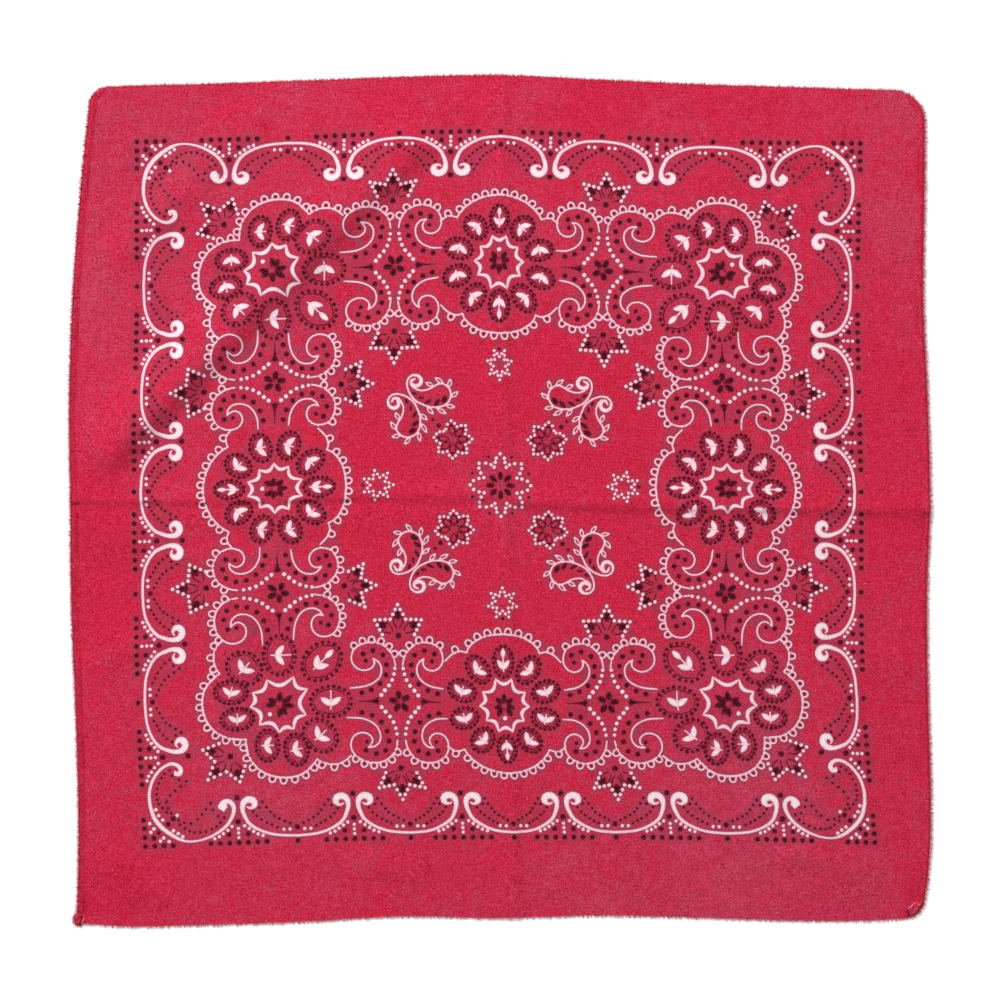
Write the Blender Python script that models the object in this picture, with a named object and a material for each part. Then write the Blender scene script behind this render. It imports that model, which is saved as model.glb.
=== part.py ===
# A printed cotton bandana lying flat: one square of plain-weave cotton between two narrow stitched side
# hems. Its upper and lower edges are woven selvedges, and the hems' lower ends are turned over at the
# corners.
#
# Units are metres, +Z is up. +X runs to the right hem and +Y to the upper selvedge. The origin is on
# the surface that the cloth lies on, under the middle of its outline.
#
# The cloth has its own two coordinates, `across` and `up`, which run from -1 at the left hem and lower
# selvedge to +1 at the right hem and upper selvedge. Both pressed centre folds lie at 0.

import math

import bmesh
import bpy
from mathutils import Vector
from mathutils.geometry import delaunay_2d_cdt

CLOTH_WALL = 0.0010
SEAM_GAP = 0.0003
HEM_WIDTH = 0.0034
HEM_THICKNESS = 0.0019
HEM_ROUNDING = 0.0006
SEAM_INSET = HEM_WIDTH + SEAM_GAP

# The panel's mesh: evenly spaced lines, more on and beside the pressed folds, rows of points that
# follow each soft fold's crest and flanks, and a clear strip along the outline.
CELLS = 30
FOLD_LINES = (-0.034, -0.015, 0.0, 0.015, 0.034)
CLEAR_OF_FOLD = 0.030
CLEAR_OF_OUTLINE = 0.0040
CREST_STEP = 0.0090
FLANK_ROWS = (-1.0, -0.6, -0.25, 0.0, 0.5, 1.0)
CLEAR_OF_CREST_ROWS = 0.0048
CORNER_STEPS = 6

# Radius that each corner of the square is rounded to.
CORNER_RADIUS = {
    ("left", "upper"): 0.0115,
    ("right", "upper"): 0.0200,
    ("left", "lower"): 0.0030,
    ("right", "lower"): 0.0125,
}

# How far round each corner's arc a hem runs, in degrees from the side towards the selvedge. At the
# lower corners the hems stop short of the arcs, at HEM_END and DOG_EAR.
HEM_ROUND = {
    ("left", "upper"): 75.0,
    ("right", "upper"): 60.0,
    ("left", "lower"): 0.0,
    ("right", "lower"): 0.0,
}

# The outline and the two pressed centre folds. Each row is a station `along` a side, measured from its
# middle. left, right, lower and upper are how far that side reaches from the origin there. fold_up is
# the x of the fold that runs up the cloth, at y = along. fold_across is the y of the fold that runs
# across it, at x = along.
OUTLINE_COLUMNS = ("along", "left", "right", "lower", "upper", "fold_up", "fold_across")
OUTLINE = (
    (-0.262, 0.2592, 0.2580, 0.2590, 0.2530, 0.0122, -0.0026),
    (-0.184, 0.2593, 0.2644, 0.2614, 0.2558, 0.0106, -0.0025),
    (-0.123, 0.2607, 0.2626, 0.2582, 0.2583, 0.0089, -0.0012),
    (-0.061, 0.2632, 0.2620, 0.2552, 0.2601, 0.0070, 0.0006),
    (0.000, 0.2638, 0.2645, 0.2564, 0.2614, 0.0047, -0.0012),
    (0.061, 0.2645, 0.2626, 0.2546, 0.2583, 0.0044, -0.0037),
    (0.123, 0.2624, 0.2596, 0.2558, 0.2558, 0.0041, -0.0049),
    (0.184, 0.2583, 0.2601, 0.2577, 0.2540, 0.0034, -0.0056),
    (0.262, 0.2505, 0.2612, 0.2564, 0.2516, 0.0026, -0.0068),
)

# Soft folds that lift the cloth off the surface. start and end are points (x, y). rise is how far the
# cloth climbs to the crest on the fold's left, seen from start to end, and fall is the same on its
# right. taper is the length over which each end dies away.
FOLD_COLUMNS = ("start", "end", "height", "rise", "fall", "taper")
FOLDS = {
    "diagonal_roll": ((-0.2540, 0.0110), (-0.0360, 0.2310), 0.0042, 0.030, 0.0110, 0.036),
    "corner_roll": ((-0.2560, 0.1250), (-0.1350, 0.2500), 0.0014, 0.022, 0.0160, 0.040),
    "left_margin_upper": ((-0.2640, -0.0250), (-0.2000, -0.0250), 0.0012, 0.016, 0.0120, 0.030),
    "left_margin_lower": ((-0.2640, -0.0980), (-0.1950, -0.0860), 0.0012, 0.018, 0.0140, 0.030),
    "left_field": ((-0.1420, -0.0150), (-0.1780, -0.1700), 0.0010, 0.018, 0.0180, 0.050),
    "lower_left": ((-0.2500, -0.2080), (-0.1950, -0.2540), 0.0012, 0.014, 0.0160, 0.025),
    "lower_margin": ((-0.1200, -0.2180), (-0.0250, -0.2280), 0.0010, 0.016, 0.0160, 0.040),
    "lower_right": ((0.1500, -0.2100), (0.2480, -0.2330), 0.0012, 0.016, 0.0160, 0.040),
    "right_margin": ((0.2150, -0.0900), (0.2600, -0.1120), 0.0010, 0.016, 0.0150, 0.025),
    "upper_right": ((0.1450, 0.2150), (0.2250, 0.2050), 0.0010, 0.016, 0.0180, 0.035),
}

# The pressed folds: how high their crests stand, and how wide each is from its line to where it dies
# away. The fold across the cloth is pressed down into a groove on its left half and up into a crest on
# its right half.
FOLD_UP_HEIGHT = 0.0011
FOLD_UP_WIDTH = 0.0090
FOLD_ACROSS_HEIGHT = 0.0012
FOLD_ACROSS_WIDTH = 0.0090
GROOVE_SHOULDER = 0.0040
GROOVE_HEIGHT = 0.0007
GROOVE_WIDTH = 0.0110
FOLD_TURNOVER = 0.0200

# The left hem's turned end: a lump of folded cloth below the hem, standing out past the cloth's corner.
HEM_END = {"left": -0.2645, "right": -0.2564, "lower": -0.2612, "upper": -0.2526, "height": 0.0030}
HEM_END_SIDES = 14
HEM_END_RINGS = 4

# The dog-ear at the lower right: cloth turned back on the panel. Its free edge runs through three
# points, given from the centre of the corner's arc, and its fold runs along that arc between two
# angles.
DOG_EAR = {"free_edge": ((0.0072, -0.0004), (0.0030, -0.0046), (0.0042, -0.0104)), "arc": (-3.0, -68.0)}
DOG_EAR_WALL = 0.0012
DOG_EAR_INSET = 0.0004

COTTON = {"colour": (0.525, 0.030, 0.077, 1.0), "roughness": 0.92}
COTTON_HEM = {"colour": (0.490, 0.026, 0.066, 1.0), "roughness": 0.93}


def clear_scene():
    for item in list(bpy.data.objects):
        bpy.data.objects.remove(item, do_unlink=True)


def smooth(value):
    """0 below 0, 1 above 1, and a soft S between."""
    value = min(max(value, 0.0), 1.0)
    return value * value * (3.0 - 2.0 * value)


def mix(low, high, share):
    return low + (high - low) * share


def outline_at(column, along):
    """Reads one column of the outline's table at any place along its side, on a curve through the rows."""
    index = OUTLINE_COLUMNS.index(column)
    places = [row[0] for row in OUTLINE]
    values = [row[index] for row in OUTLINE]
    along = min(max(along, places[0]), places[-1])
    last = len(places) - 2
    row = max(i for i in range(last + 1) if places[i] <= along)
    before = max(row - 1, 0)
    after = min(row + 2, last + 1)
    span = places[row + 1] - places[row]
    share = (along - places[row]) / span
    slope_in = (values[row + 1] - values[before]) / (places[row + 1] - places[before]) * span
    slope_out = (values[after] - values[row]) / (places[after] - places[row]) * span
    twice, thrice = share * share, share * share * share
    return (
        values[row] * (2 * thrice - 3 * twice + 1)
        + slope_in * (thrice - 2 * twice + share)
        + values[row + 1] * (3 * twice - 2 * thrice)
        + slope_out * (thrice - twice)
    )


def through_fold(low, middle, high, position):
    """Runs from low at -1 through middle at 0 to high at +1, without a kink."""
    straight = mix(low, high, (position + 1.0) / 2.0)
    return straight + (middle - (low + high) / 2.0) * (1.0 - position * position)


def place(across, up):
    """Where a point of the cloth lies, before its corners are rounded."""
    reach = OUTLINE[-1][0]
    along_x, along_y = across * reach, up * reach
    x = through_fold(
        -outline_at("left", along_y), outline_at("fold_up", along_y), outline_at("right", along_y), across
    )
    y = through_fold(
        -outline_at("lower", along_x), outline_at("fold_across", along_x), outline_at("upper", along_x), up
    )
    return x, y


def side_x(side, y):
    return outline_at("left", y) * -1 if side == "left" else outline_at("right", y)


def selvedge_y(level, x):
    return outline_at("lower", x) * -1 if level == "lower" else outline_at("upper", x)


def corner_arc(side, level):
    """The centre, radius and outward signs of a corner's arc, which meets the side and the selvedge."""
    radius = CORNER_RADIUS[side, level]
    out_x = -1 if side == "left" else 1
    out_y = -1 if level == "lower" else 1
    centre_y = selvedge_y(level, side_x(side, out_y * 0.25) - out_x * radius) - out_y * radius
    centre_x = side_x(side, centre_y) - out_x * radius
    return centre_x, centre_y, radius, out_x, out_y


def on_arc(side, level, degrees, inset=0.0):
    """A point on a corner's arc, 0 degrees at the side and 90 at the selvedge."""
    centre_x, centre_y, radius, out_x, out_y = corner_arc(side, level)
    angle = math.radians(degrees)
    reach = radius - inset
    return centre_x + out_x * reach * math.cos(angle), centre_y + out_y * reach * math.sin(angle)


def fold_run(fold):
    """A soft fold's length and the direction that it runs in."""
    start, end = fold[FOLD_COLUMNS.index("start")], fold[FOLD_COLUMNS.index("end")]
    length = math.dist(start, end)
    return length, (end[0] - start[0]) / length, (end[1] - start[1]) / length


def one_fold(fold, x, y):
    start, _, height, rise, fall, taper = fold
    length, run_x, run_y = fold_run(fold)
    along = (x - start[0]) * run_x + (y - start[1]) * run_y
    aside = (x - start[0]) * run_y - (y - start[1]) * run_x
    ends = smooth(along / taper) * smooth((length - along) / taper)
    width = fall if aside > 0 else rise
    return height * ends * smooth(1.0 - abs(aside) / width)


def fold_points(fold):
    """Rows of points that run along a soft fold, at its foot, its flanks and its crest."""
    start, rise, fall = (fold[FOLD_COLUMNS.index(name)] for name in ("start", "rise", "fall"))
    length, run_x, run_y = fold_run(fold)
    steps = round(length / CREST_STEP)
    points = []
    for step in range(1, steps):
        along = length * step / steps
        for row in FLANK_ROWS:
            aside = row * (fall if row > 0 else rise)
            x = start[0] + along * run_x + aside * run_y
            y = start[1] + along * run_y - aside * run_x
            points.append((x, y))
    return points


def pressed_folds(x, y):
    """The two centre folds, left from how the cloth was kept."""
    from_up = abs(x - outline_at("fold_up", y))
    crest_up = FOLD_UP_HEIGHT * max(1.0 - from_up / FOLD_UP_WIDTH, 0.0) ** 2
    from_across = abs(y - outline_at("fold_across", x))
    crest = FOLD_ACROSS_HEIGHT * max(1.0 - from_across / FOLD_ACROSS_WIDTH, 0.0) ** 2
    shoulders = smooth(1.0 - abs(from_across - GROOVE_SHOULDER) / (GROOVE_WIDTH - GROOVE_SHOULDER))
    groove = GROOVE_HEIGHT * shoulders * smooth(from_across / GROOVE_SHOULDER)
    share_right = smooth(0.5 + x / FOLD_TURNOVER)
    return max(crest_up, mix(groove, crest, share_right))


def lift(x, y):
    """How far the cloth's underside is above the surface."""
    folds = max(one_fold(fold, x, y) for fold in FOLDS.values())
    return folds + pressed_folds(x, y)


def cotton(name, look):
    material = bpy.data.materials.new(name)
    material.use_nodes = True
    shader = material.node_tree.nodes["Principled BSDF"]
    shader.inputs["Base Color"].default_value = look["colour"]
    shader.inputs["Roughness"].default_value = look["roughness"]
    shader.inputs["Metallic"].default_value = 0.0
    material.diffuse_color = look["colour"]
    return material


def add_object(name, shape, material):
    bmesh.ops.recalc_face_normals(shape, faces=shape.faces)
    mesh = bpy.data.meshes.new(name)
    shape.to_mesh(mesh)
    shape.free()
    mesh.materials.append(material)
    mesh.shade_smooth()
    mesh.set_sharp_from_angle(angle=math.radians(40))
    item = bpy.data.objects.new(name, mesh)
    bpy.context.scene.collection.objects.link(item)
    return item


def mesh_lines():
    """Positions from -1 to 1 of the panel's mesh lines, closer on and beside the pressed folds."""
    even = [-1.0 + 2.0 * i / CELLS for i in range(CELLS + 1)]
    return sorted([line for line in even if abs(line) > CLEAR_OF_FOLD + 1.0 / CELLS] + list(FOLD_LINES))


def side_rows(side):
    """Heights of the stations on a side's straight run, between its two corners' arcs."""
    low = corner_arc(side, "lower")[1]
    high = corner_arc(side, "upper")[1]
    if side == "left":
        low = HEM_END["upper"] + SEAM_GAP
    rows = [place(0.0, line)[1] for line in mesh_lines()]
    return [low] + [y for y in rows if low + CLEAR_OF_OUTLINE < y < high - CLEAR_OF_OUTLINE] + [high]


def hem_run(side, inset):
    """A line beside one side of the cloth, inset from its edge, from the hem's lower end to its upper end."""
    out_x = -1 if side == "left" else 1
    lower = HEM_ROUND[side, "lower"]
    upper = HEM_ROUND[side, "upper"]
    steps = range(1, CORNER_STEPS + 1)
    run = [on_arc(side, "lower", lower * i / CORNER_STEPS, inset) for i in reversed(steps) if lower > 0]
    run += [(side_x(side, y) - out_x * inset, y) for y in side_rows(side)]
    run += [on_arc(side, "upper", upper * i / CORNER_STEPS, inset) for i in steps]
    return run


def selvedge_run(level):
    """The bare part of one selvedge from left to right, with what the hems leave of both corners' arcs."""
    past = {}
    for side in ("left", "right"):
        radius = corner_arc(side, level)[2]
        first = HEM_ROUND[side, level] + math.degrees(SEAM_GAP / radius)
        arc = [on_arc(side, level, mix(first, 90.0, i / CORNER_STEPS)) for i in range(CORNER_STEPS)]
        past[side] = [on_arc(side, level, first, SEAM_INSET)] + arc
    if level == "lower":
        beside = HEM_END["right"] + SEAM_GAP
        past["left"] = [(beside, HEM_END["upper"] + SEAM_GAP), (beside, selvedge_y(level, beside))]
    inner = corner_arc("right", level)[0]
    columns = [place(line, 0.0)[0] for line in mesh_lines()]
    start = past["left"][-1][0] + CLEAR_OF_OUTLINE
    middle = [(x, selvedge_y(level, x)) for x in columns if start < x < inner - CLEAR_OF_OUTLINE]
    return past["left"] + middle + [(inner, selvedge_y(level, inner))] + past["right"][::-1]


def panel_outline():
    """The panel's outline, once round anticlockwise: it stops one seam's gap short of each hem."""
    left = hem_run("left", SEAM_INSET)[::-1]
    right = hem_run("right", SEAM_INSET)
    return selvedge_run("lower") + right + selvedge_run("upper")[::-1] + left


def away_from(outline, x, y):
    """How near a point comes to the outline's corners and edges."""
    nearest = math.inf
    for (ax, ay), (bx, by) in zip(outline, outline[1:] + outline[:1]):
        run_x, run_y = bx - ax, by - ay
        length = max(run_x * run_x + run_y * run_y, 1e-12)
        share = min(max(((x - ax) * run_x + (y - ay) * run_y) / length, 0.0), 1.0)
        nearest = min(nearest, math.hypot(x - ax - share * run_x, y - ay - share * run_y))
    return nearest


def raise_wall(name, flat, wall, rest_on, material):
    """Lays a flat mesh of (points, faces) on the cloth's form and gives it an even wall."""
    points, faces = flat
    shape = bmesh.new()
    corners = [shape.verts.new((x, y, lift(x, y) + rest_on)) for x, y in points]
    for face in faces:
        shape.faces.new([corners[i] for i in face])
    skin = bmesh.ops.extrude_face_region(shape, geom=shape.faces[:])
    raised = [item for item in skin["geom"] if isinstance(item, bmesh.types.BMVert)]
    bmesh.ops.translate(shape, verts=raised, vec=(0.0, 0.0, wall))
    bmesh.ops.triangulate(shape, faces=shape.faces[:])
    return add_object(name, shape, material)


def filled(outline, inside):
    """Triangulates an outline with some points inside it."""
    points = [Vector(point) for point in outline + inside]
    result = delaunay_2d_cdt(points, [], [list(range(len(outline)))], 1, 1e-7)
    return [tuple(point) for point in result[0]], result[2]


def within(outline, x, y):
    """True if a point is inside the outline."""
    crossings = 0
    for (ax, ay), (bx, by) in zip(outline, outline[1:] + outline[:1]):
        if (ay > y) != (by > y) and x < ax + (y - ay) / (by - ay) * (bx - ax):
            crossings += 1
    return crossings % 2 == 1


def mesh_points(outline):
    """The points inside the panel's outline: those of its soft folds, and where they leave room, its grid."""
    lines = mesh_lines()
    kept = []
    for fold in FOLDS.values():
        kept += [p for p in fold_points(fold) if all(math.dist(p, q) > CLEAR_OF_CREST_ROWS for q in kept)]
    grid = [place(across, up) for up in lines for across in lines]
    kept += [p for p in grid if all(math.dist(p, q) > CLEAR_OF_CREST_ROWS for q in kept)]
    return [p for p in kept if within(outline, *p) and away_from(outline, *p) > CLEAR_OF_OUTLINE]


def build_panel(material):
    outline = panel_outline()
    return raise_wall("panel", filled(outline, mesh_points(outline)), CLOTH_WALL, 0.0, material)


def hem_profile():
    """The hem's section as (distance from its outer edge, height), once round."""
    top = HEM_THICKNESS
    rounding = HEM_ROUNDING
    return (
        (HEM_WIDTH, 0.0),
        (HEM_WIDTH, top * 0.72),
        (HEM_WIDTH - rounding, top),
        (rounding * 1.6, top),
        (rounding * 0.4, top - rounding * 0.7),
        (0.0, top * 0.45),
        (rounding * 0.5, 0.0),
    )


def join_rings(shape, rings):
    """Closes a wall between each ring of corners and the next."""
    for near, far in zip(rings, rings[1:]):
        for i in range(len(near)):
            j = (i + 1) % len(near)
            shape.faces.new((near[i], near[j], far[j], far[i]))


def build_hem(name, side, material):
    """One side hem, its section swept from the lower end of its run to the upper end."""
    shape = bmesh.new()
    runs = [[(x, y, height) for x, y in hem_run(side, inset)] for inset, height in hem_profile()]
    rings = []
    for section in zip(*runs):
        ground = lift(*section[0][:2])
        rings.append([shape.verts.new((x, y, ground + height)) for x, y, height in section])
    join_rings(shape, rings)
    shape.faces.new(rings[0])
    shape.faces.new(rings[-1])
    bmesh.ops.triangulate(shape, faces=shape.faces[:])
    return add_object(name, shape, material)


def build_hem_end(material):
    """The left hem's lower end doubled back on itself: a low rounded lump with a flat underside."""
    shape = bmesh.new()
    centre_x = (HEM_END["left"] + HEM_END["right"]) / 2
    centre_y = (HEM_END["lower"] + HEM_END["upper"]) / 2
    half_x = (HEM_END["right"] - HEM_END["left"]) / 2
    half_y = (HEM_END["upper"] - HEM_END["lower"]) / 2
    rings = []
    for level in range(HEM_END_RINGS):
        climb = math.radians(70.0 * level / (HEM_END_RINGS - 1))
        ring = []
        for i in range(HEM_END_SIDES):
            angle = math.tau * i / HEM_END_SIDES
            x = centre_x + half_x * math.cos(climb) * math.cos(angle)
            y = centre_y + half_y * math.cos(climb) * math.sin(angle)
            ring.append(shape.verts.new((x, y, HEM_END["height"] * math.sin(climb))))
        rings.append(ring)
    join_rings(shape, rings)
    shape.faces.new(rings[0])
    shape.faces.new(rings[-1])
    bmesh.ops.triangulate(shape, faces=shape.faces[:])
    return add_object("hem_end_left", shape, material)


def build_corner_fold(material):
    """The dog-ear, lying on the panel at its lower right corner."""
    centre_x, centre_y = corner_arc("right", "lower")[:2]
    first, last = DOG_EAR["arc"]
    outline = [(centre_x + x, centre_y + y) for x, y in DOG_EAR["free_edge"]]
    for i in range(CORNER_STEPS + 1):
        angle = mix(-last, -first, i / CORNER_STEPS)
        outline.append(on_arc("right", "lower", angle, DOG_EAR_INSET))
    return raise_wall(
        "corner_fold_right", filled(outline, []), DOG_EAR_WALL, CLOTH_WALL + SEAM_GAP, material
    )


clear_scene()
printed_cotton = cotton("printed_cotton", COTTON)
hem_cotton = cotton("hem_cotton", COTTON_HEM)
build_panel(printed_cotton)
build_hem("hem_left", "left", hem_cotton)
build_hem("hem_right", "right", hem_cotton)
build_hem_end(hem_cotton)
build_corner_fold(hem_cotton)
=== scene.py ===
# A printed cotton bandana lying flat on a pale surface, seen straight from above.
# Units are metres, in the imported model's frame: +X runs to the right hem, +Y to the upper selvedge.

import math
import random

import bmesh
import bpy
import numpy as np
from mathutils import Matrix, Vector
from mathutils.geometry import delaunay_2d_cdt


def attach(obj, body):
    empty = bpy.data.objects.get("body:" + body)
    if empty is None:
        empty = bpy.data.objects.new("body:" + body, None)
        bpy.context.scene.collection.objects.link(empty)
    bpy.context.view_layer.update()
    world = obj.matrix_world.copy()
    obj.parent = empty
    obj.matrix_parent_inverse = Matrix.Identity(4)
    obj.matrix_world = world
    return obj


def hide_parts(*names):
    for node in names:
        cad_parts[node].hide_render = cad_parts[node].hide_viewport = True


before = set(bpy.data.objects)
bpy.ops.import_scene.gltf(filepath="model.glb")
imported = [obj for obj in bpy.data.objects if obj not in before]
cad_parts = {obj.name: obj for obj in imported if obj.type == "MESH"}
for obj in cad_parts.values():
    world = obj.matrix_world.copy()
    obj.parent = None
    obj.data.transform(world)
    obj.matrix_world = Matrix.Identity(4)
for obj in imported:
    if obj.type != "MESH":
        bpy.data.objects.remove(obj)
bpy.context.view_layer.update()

scene = bpy.context.scene
scene.view_settings.view_transform = "Standard"

# the camera looks straight down and sees viewWidth across at the cloth
lens = 85.0
sensorWidth = 36.0
viewWidth = 0.613
aimY = 0.0003
clothTop = 0.001
cameraData = bpy.data.cameras.new("camera")
cameraData.lens = lens
cameraData.sensor_width = sensorWidth
cameraData.clip_start = 0.05
camera = bpy.data.objects.new("camera", cameraData)
camera.location = (0.0, aimY, viewWidth * lens / sensorWidth + clothTop)
scene.collection.objects.link(camera)
scene.camera = camera


def mixed(low, high, share):
    return low + (high - low) * share


def softStep(value):
    # 0 below 0, 1 above 1 and a soft S between; takes arrays too
    value = np.clip(value, 0.0, 1.0)
    return value * value * (3.0 - 2.0 * value)


def polar(radius, degrees):
    # degrees run clockwise from +y
    angle = math.radians(degrees)
    return radius * math.sin(angle), radius * math.cos(angle)


def throughTable(places, values, at):
    # a smooth curve through a table's values, one value or one row of values per place
    places = np.asarray(places, float)
    values = np.asarray(values, float)
    last = len(places) - 1
    before = np.maximum(np.arange(last + 1) - 1, 0)
    after = np.minimum(np.arange(last + 1) + 1, last)
    at = np.clip(np.asarray(at, float), places[0], places[-1])
    row = np.clip(np.searchsorted(places, at, side="right") - 1, 0, last - 1)
    span = places[row + 1] - places[row]
    share = (at - places[row]) / span
    rise = (values[after] - values[before]).T / (places[after] - places[before])
    rise = rise.T
    twice, thrice = share * share, share * share * share
    parts = ((2 * thrice - 3 * twice + 1, values[row]), ((thrice - 2 * twice + share) * span, rise[row]),
             (3 * twice - 2 * thrice, values[row + 1]), ((thrice - twice) * span, rise[row + 1]))
    return sum((weight * value.T).T for weight, value in parts)


# the cloth's form, with the values that its solids have
clothWall = 0.0010
hemWidth = 0.0034
cornerRadius = {("left", "upper"): 0.0115, ("right", "upper"): 0.0200,
                ("left", "lower"): 0.0030, ("right", "lower"): 0.0132}
# how many degrees of each corner the hem goes round
hemRound = {("left", "upper"): 88.0, ("right", "upper"): 66.0, ("left", "lower"): 0.0,
            ("right", "lower"): 24.0}

# how far each side reaches from the origin at stations along it, and where the two pressed folds run
outlineColumns = ("along", "left", "right", "lower", "upper", "foldUp", "foldAcross")
outlineRows = (
    (-0.262, 0.2595, 0.2572, 0.2587, 0.2523, 0.0098, -0.0016),
    (-0.226, 0.2584, 0.2628, 0.2609, 0.2540, 0.0092, -0.0017),
    (-0.184, 0.2584, 0.2641, 0.2601, 0.2550, 0.0084, -0.0017),
    (-0.123, 0.2602, 0.2625, 0.2582, 0.2571, 0.0072, -0.0004),
    (-0.061, 0.2627, 0.2617, 0.2548, 0.2594, 0.0054, 0.0012),
    (0.000, 0.2632, 0.2636, 0.2558, 0.2605, 0.0034, -0.0002),
    (0.061, 0.2639, 0.2622, 0.2542, 0.2577, 0.0030, -0.0027),
    (0.123, 0.2619, 0.2595, 0.2555, 0.2549, 0.0030, -0.0039),
    (0.184, 0.2575, 0.2602, 0.2574, 0.2530, 0.0030, -0.0046),
    (0.226, 0.2534, 0.2605, 0.2573, 0.2517, 0.0027, -0.0052),
    (0.262, 0.2496, 0.2599, 0.2552, 0.2510, 0.0024, -0.0058),
)

# soft folds: start, end, height, how wide they rise on their left and fall on their right, taper
softFolds = {
    "diagonalRoll": ((-0.2552, 0.0114), (-0.0368, 0.2323), 0.0040, 0.036, 0.0150, 0.036),
    "cornerRoll": ((-0.2560, 0.1250), (-0.1350, 0.2500), 0.0014, 0.022, 0.0160, 0.040),
    "leftMarginUpper": ((-0.2640, -0.0250), (-0.2000, -0.0250), 0.0012, 0.016, 0.0120, 0.030),
    "leftMarginLower": ((-0.2640, -0.0980), (-0.1950, -0.0860), 0.0012, 0.018, 0.0140, 0.030),
    "leftField": ((-0.1420, -0.0150), (-0.1780, -0.1700), 0.0010, 0.018, 0.0180, 0.050),
    "lowerLeft": ((-0.2500, -0.2080), (-0.1950, -0.2540), 0.0012, 0.014, 0.0160, 0.025),
    "lowerMargin": ((-0.1200, -0.2180), (-0.0250, -0.2280), 0.0010, 0.016, 0.0160, 0.040),
    "lowerRight": ((0.1500, -0.2100), (0.2480, -0.2330), 0.0012, 0.016, 0.0160, 0.040),
    "rightMargin": ((0.2150, -0.0900), (0.2600, -0.1120), 0.0010, 0.016, 0.0150, 0.025),
    "upperRight": ((0.1450, 0.2150), (0.2250, 0.2050), 0.0010, 0.016, 0.0180, 0.035),
}

# the pressed folds: how high they stand, how far they rise and how short they fall; the one that runs across
# is a ridge on its right half and a crease between two shoulders on its left half
pressedUp = {"height": 0.0009, "rise": 0.018, "fall": 0.0056}
pressedAcross = {"height": 0.0016, "rise": 0.024, "fall": 0.0052}
shoulders = {"above": 0.0014, "crest": 0.001, "rise": 0.018, "fall": 0.0026,
             "below": 0.0005, "start": 0.0004, "climb": 0.008, "end": 0.026, "descent": 0.016}
foldTurnover = 0.0200

hemEnd = {"left": -0.2615, "right": -0.2551, "lower": -0.2607, "upper": -0.2530, "height": 0.0025}
dogEar = {"freeEdge": ((0.0122, -0.0030), (0.0083, -0.0022), (0.0062, -0.0029), (0.0025, -0.0069),
                       (0.0037, -0.0097), (0.0046, -0.0116)),
          "arc": (-14.0, -68.0), "inset": 0.0005, "edgeStep": 0.0008, "grid": 0.0006, "clear": 0.00035,
          "flat": 0.0006, "puff": 0.0013, "rounding": 0.0011, "sunk": 0.0002, "shadow": 0.30, "rim": 0.0009}
# its small creases: height, how much they run along x and y, width; and how far in they start
earCreases = ((0.00026, 0.8, -0.6, 0.00042), (0.00016, 1.0, 1.4, 0.00030))
creaseStart = 0.0008

# creases too slight for the solids: (start, end, height, rise, fall, taper), troughs below 0
fineCreases = (
    ((-0.2500, -0.0370), (-0.1500, -0.0340), 0.00035, 0.007, 0.006, 0.030),
    ((-0.2560, -0.0790), (-0.2060, -0.0700), 0.00040, 0.008, 0.006, 0.020),
    ((-0.2560, -0.1100), (-0.2100, -0.1040), 0.00035, 0.008, 0.007, 0.020),
    ((-0.2550, -0.2140), (-0.2080, -0.2440), 0.00045, 0.005, 0.006, 0.018),
    ((-0.2480, -0.2050), (-0.2230, -0.2560), 0.00030, 0.006, 0.006, 0.015),
    ((0.0080, 0.1400), (0.2500, 0.1430), 0.00022, 0.010, 0.008, 0.050),
    ((-0.1300, 0.1440), (-0.0050, 0.1420), 0.00018, 0.009, 0.009, 0.040),
    ((-0.2300, -0.1220), (0.0000, -0.1250), 0.00018, 0.010, 0.009, 0.050),
    ((0.0200, -0.1240), (0.2300, -0.1220), 0.00020, 0.010, 0.009, 0.050),
    ((0.1360, -0.2400), (0.1350, -0.0200), 0.00020, 0.009, 0.009, 0.050),
    ((0.1350, 0.0200), (0.1340, 0.2400), 0.00022, 0.008, 0.009, 0.050),
    ((-0.1300, -0.2400), (-0.1310, -0.0300), 0.00018, 0.009, 0.009, 0.050),
    ((0.2050, -0.0860), (0.2560, -0.0980), 0.00035, 0.008, 0.006, 0.020),
    ((0.1740, -0.2360), (0.2400, -0.2440), 0.00040, 0.008, 0.008, 0.022),
    ((0.0050, -0.2200), (0.0140, -0.2560), 0.00050, 0.006, 0.005, 0.015),
    ((-0.0120, 0.2300), (-0.0020, 0.2580), 0.00040, 0.006, 0.006, 0.012),
    ((-0.1800, 0.0875), (-0.0368, 0.2323), -0.00130, 0.036, 0.0150, 0.050),
)


def outlineAt(column, along):
    index = outlineColumns.index(column)
    return throughTable([row[0] for row in outlineRows], [row[index] for row in outlineRows], along)


def sideX(side, y):
    return -outlineAt("left", y) if side == "left" else outlineAt("right", y)


def selvedgeY(level, x):
    return -outlineAt("lower", x) if level == "lower" else outlineAt("upper", x)


def cornerArc(side, level):
    radius = cornerRadius[side, level]
    outX = -1 if side == "left" else 1
    outY = -1 if level == "lower" else 1
    centreY = float(selvedgeY(level, sideX(side, outY * 0.25) - outX * radius)) - outY * radius
    centreX = float(sideX(side, centreY)) - outX * radius
    return centreX, centreY, radius, outX, outY


def onArc(side, level, degrees, inset=0.0):
    # 0 degrees at the side and 90 at the selvedge
    centreX, centreY, radius, outX, outY = cornerArc(side, level)
    angle = math.radians(degrees)
    reach = radius - inset
    return (centreX + outX * reach * math.cos(angle), centreY + outY * reach * math.sin(angle))


def throughFold(low, middle, high, position):
    # from low through middle to high, as position goes from -1 through 0 to 1
    bend = middle - (low + high) / 2.0
    return mixed(low, high, (position + 1.0) / 2.0) + bend * (1.0 - position * position)


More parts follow.
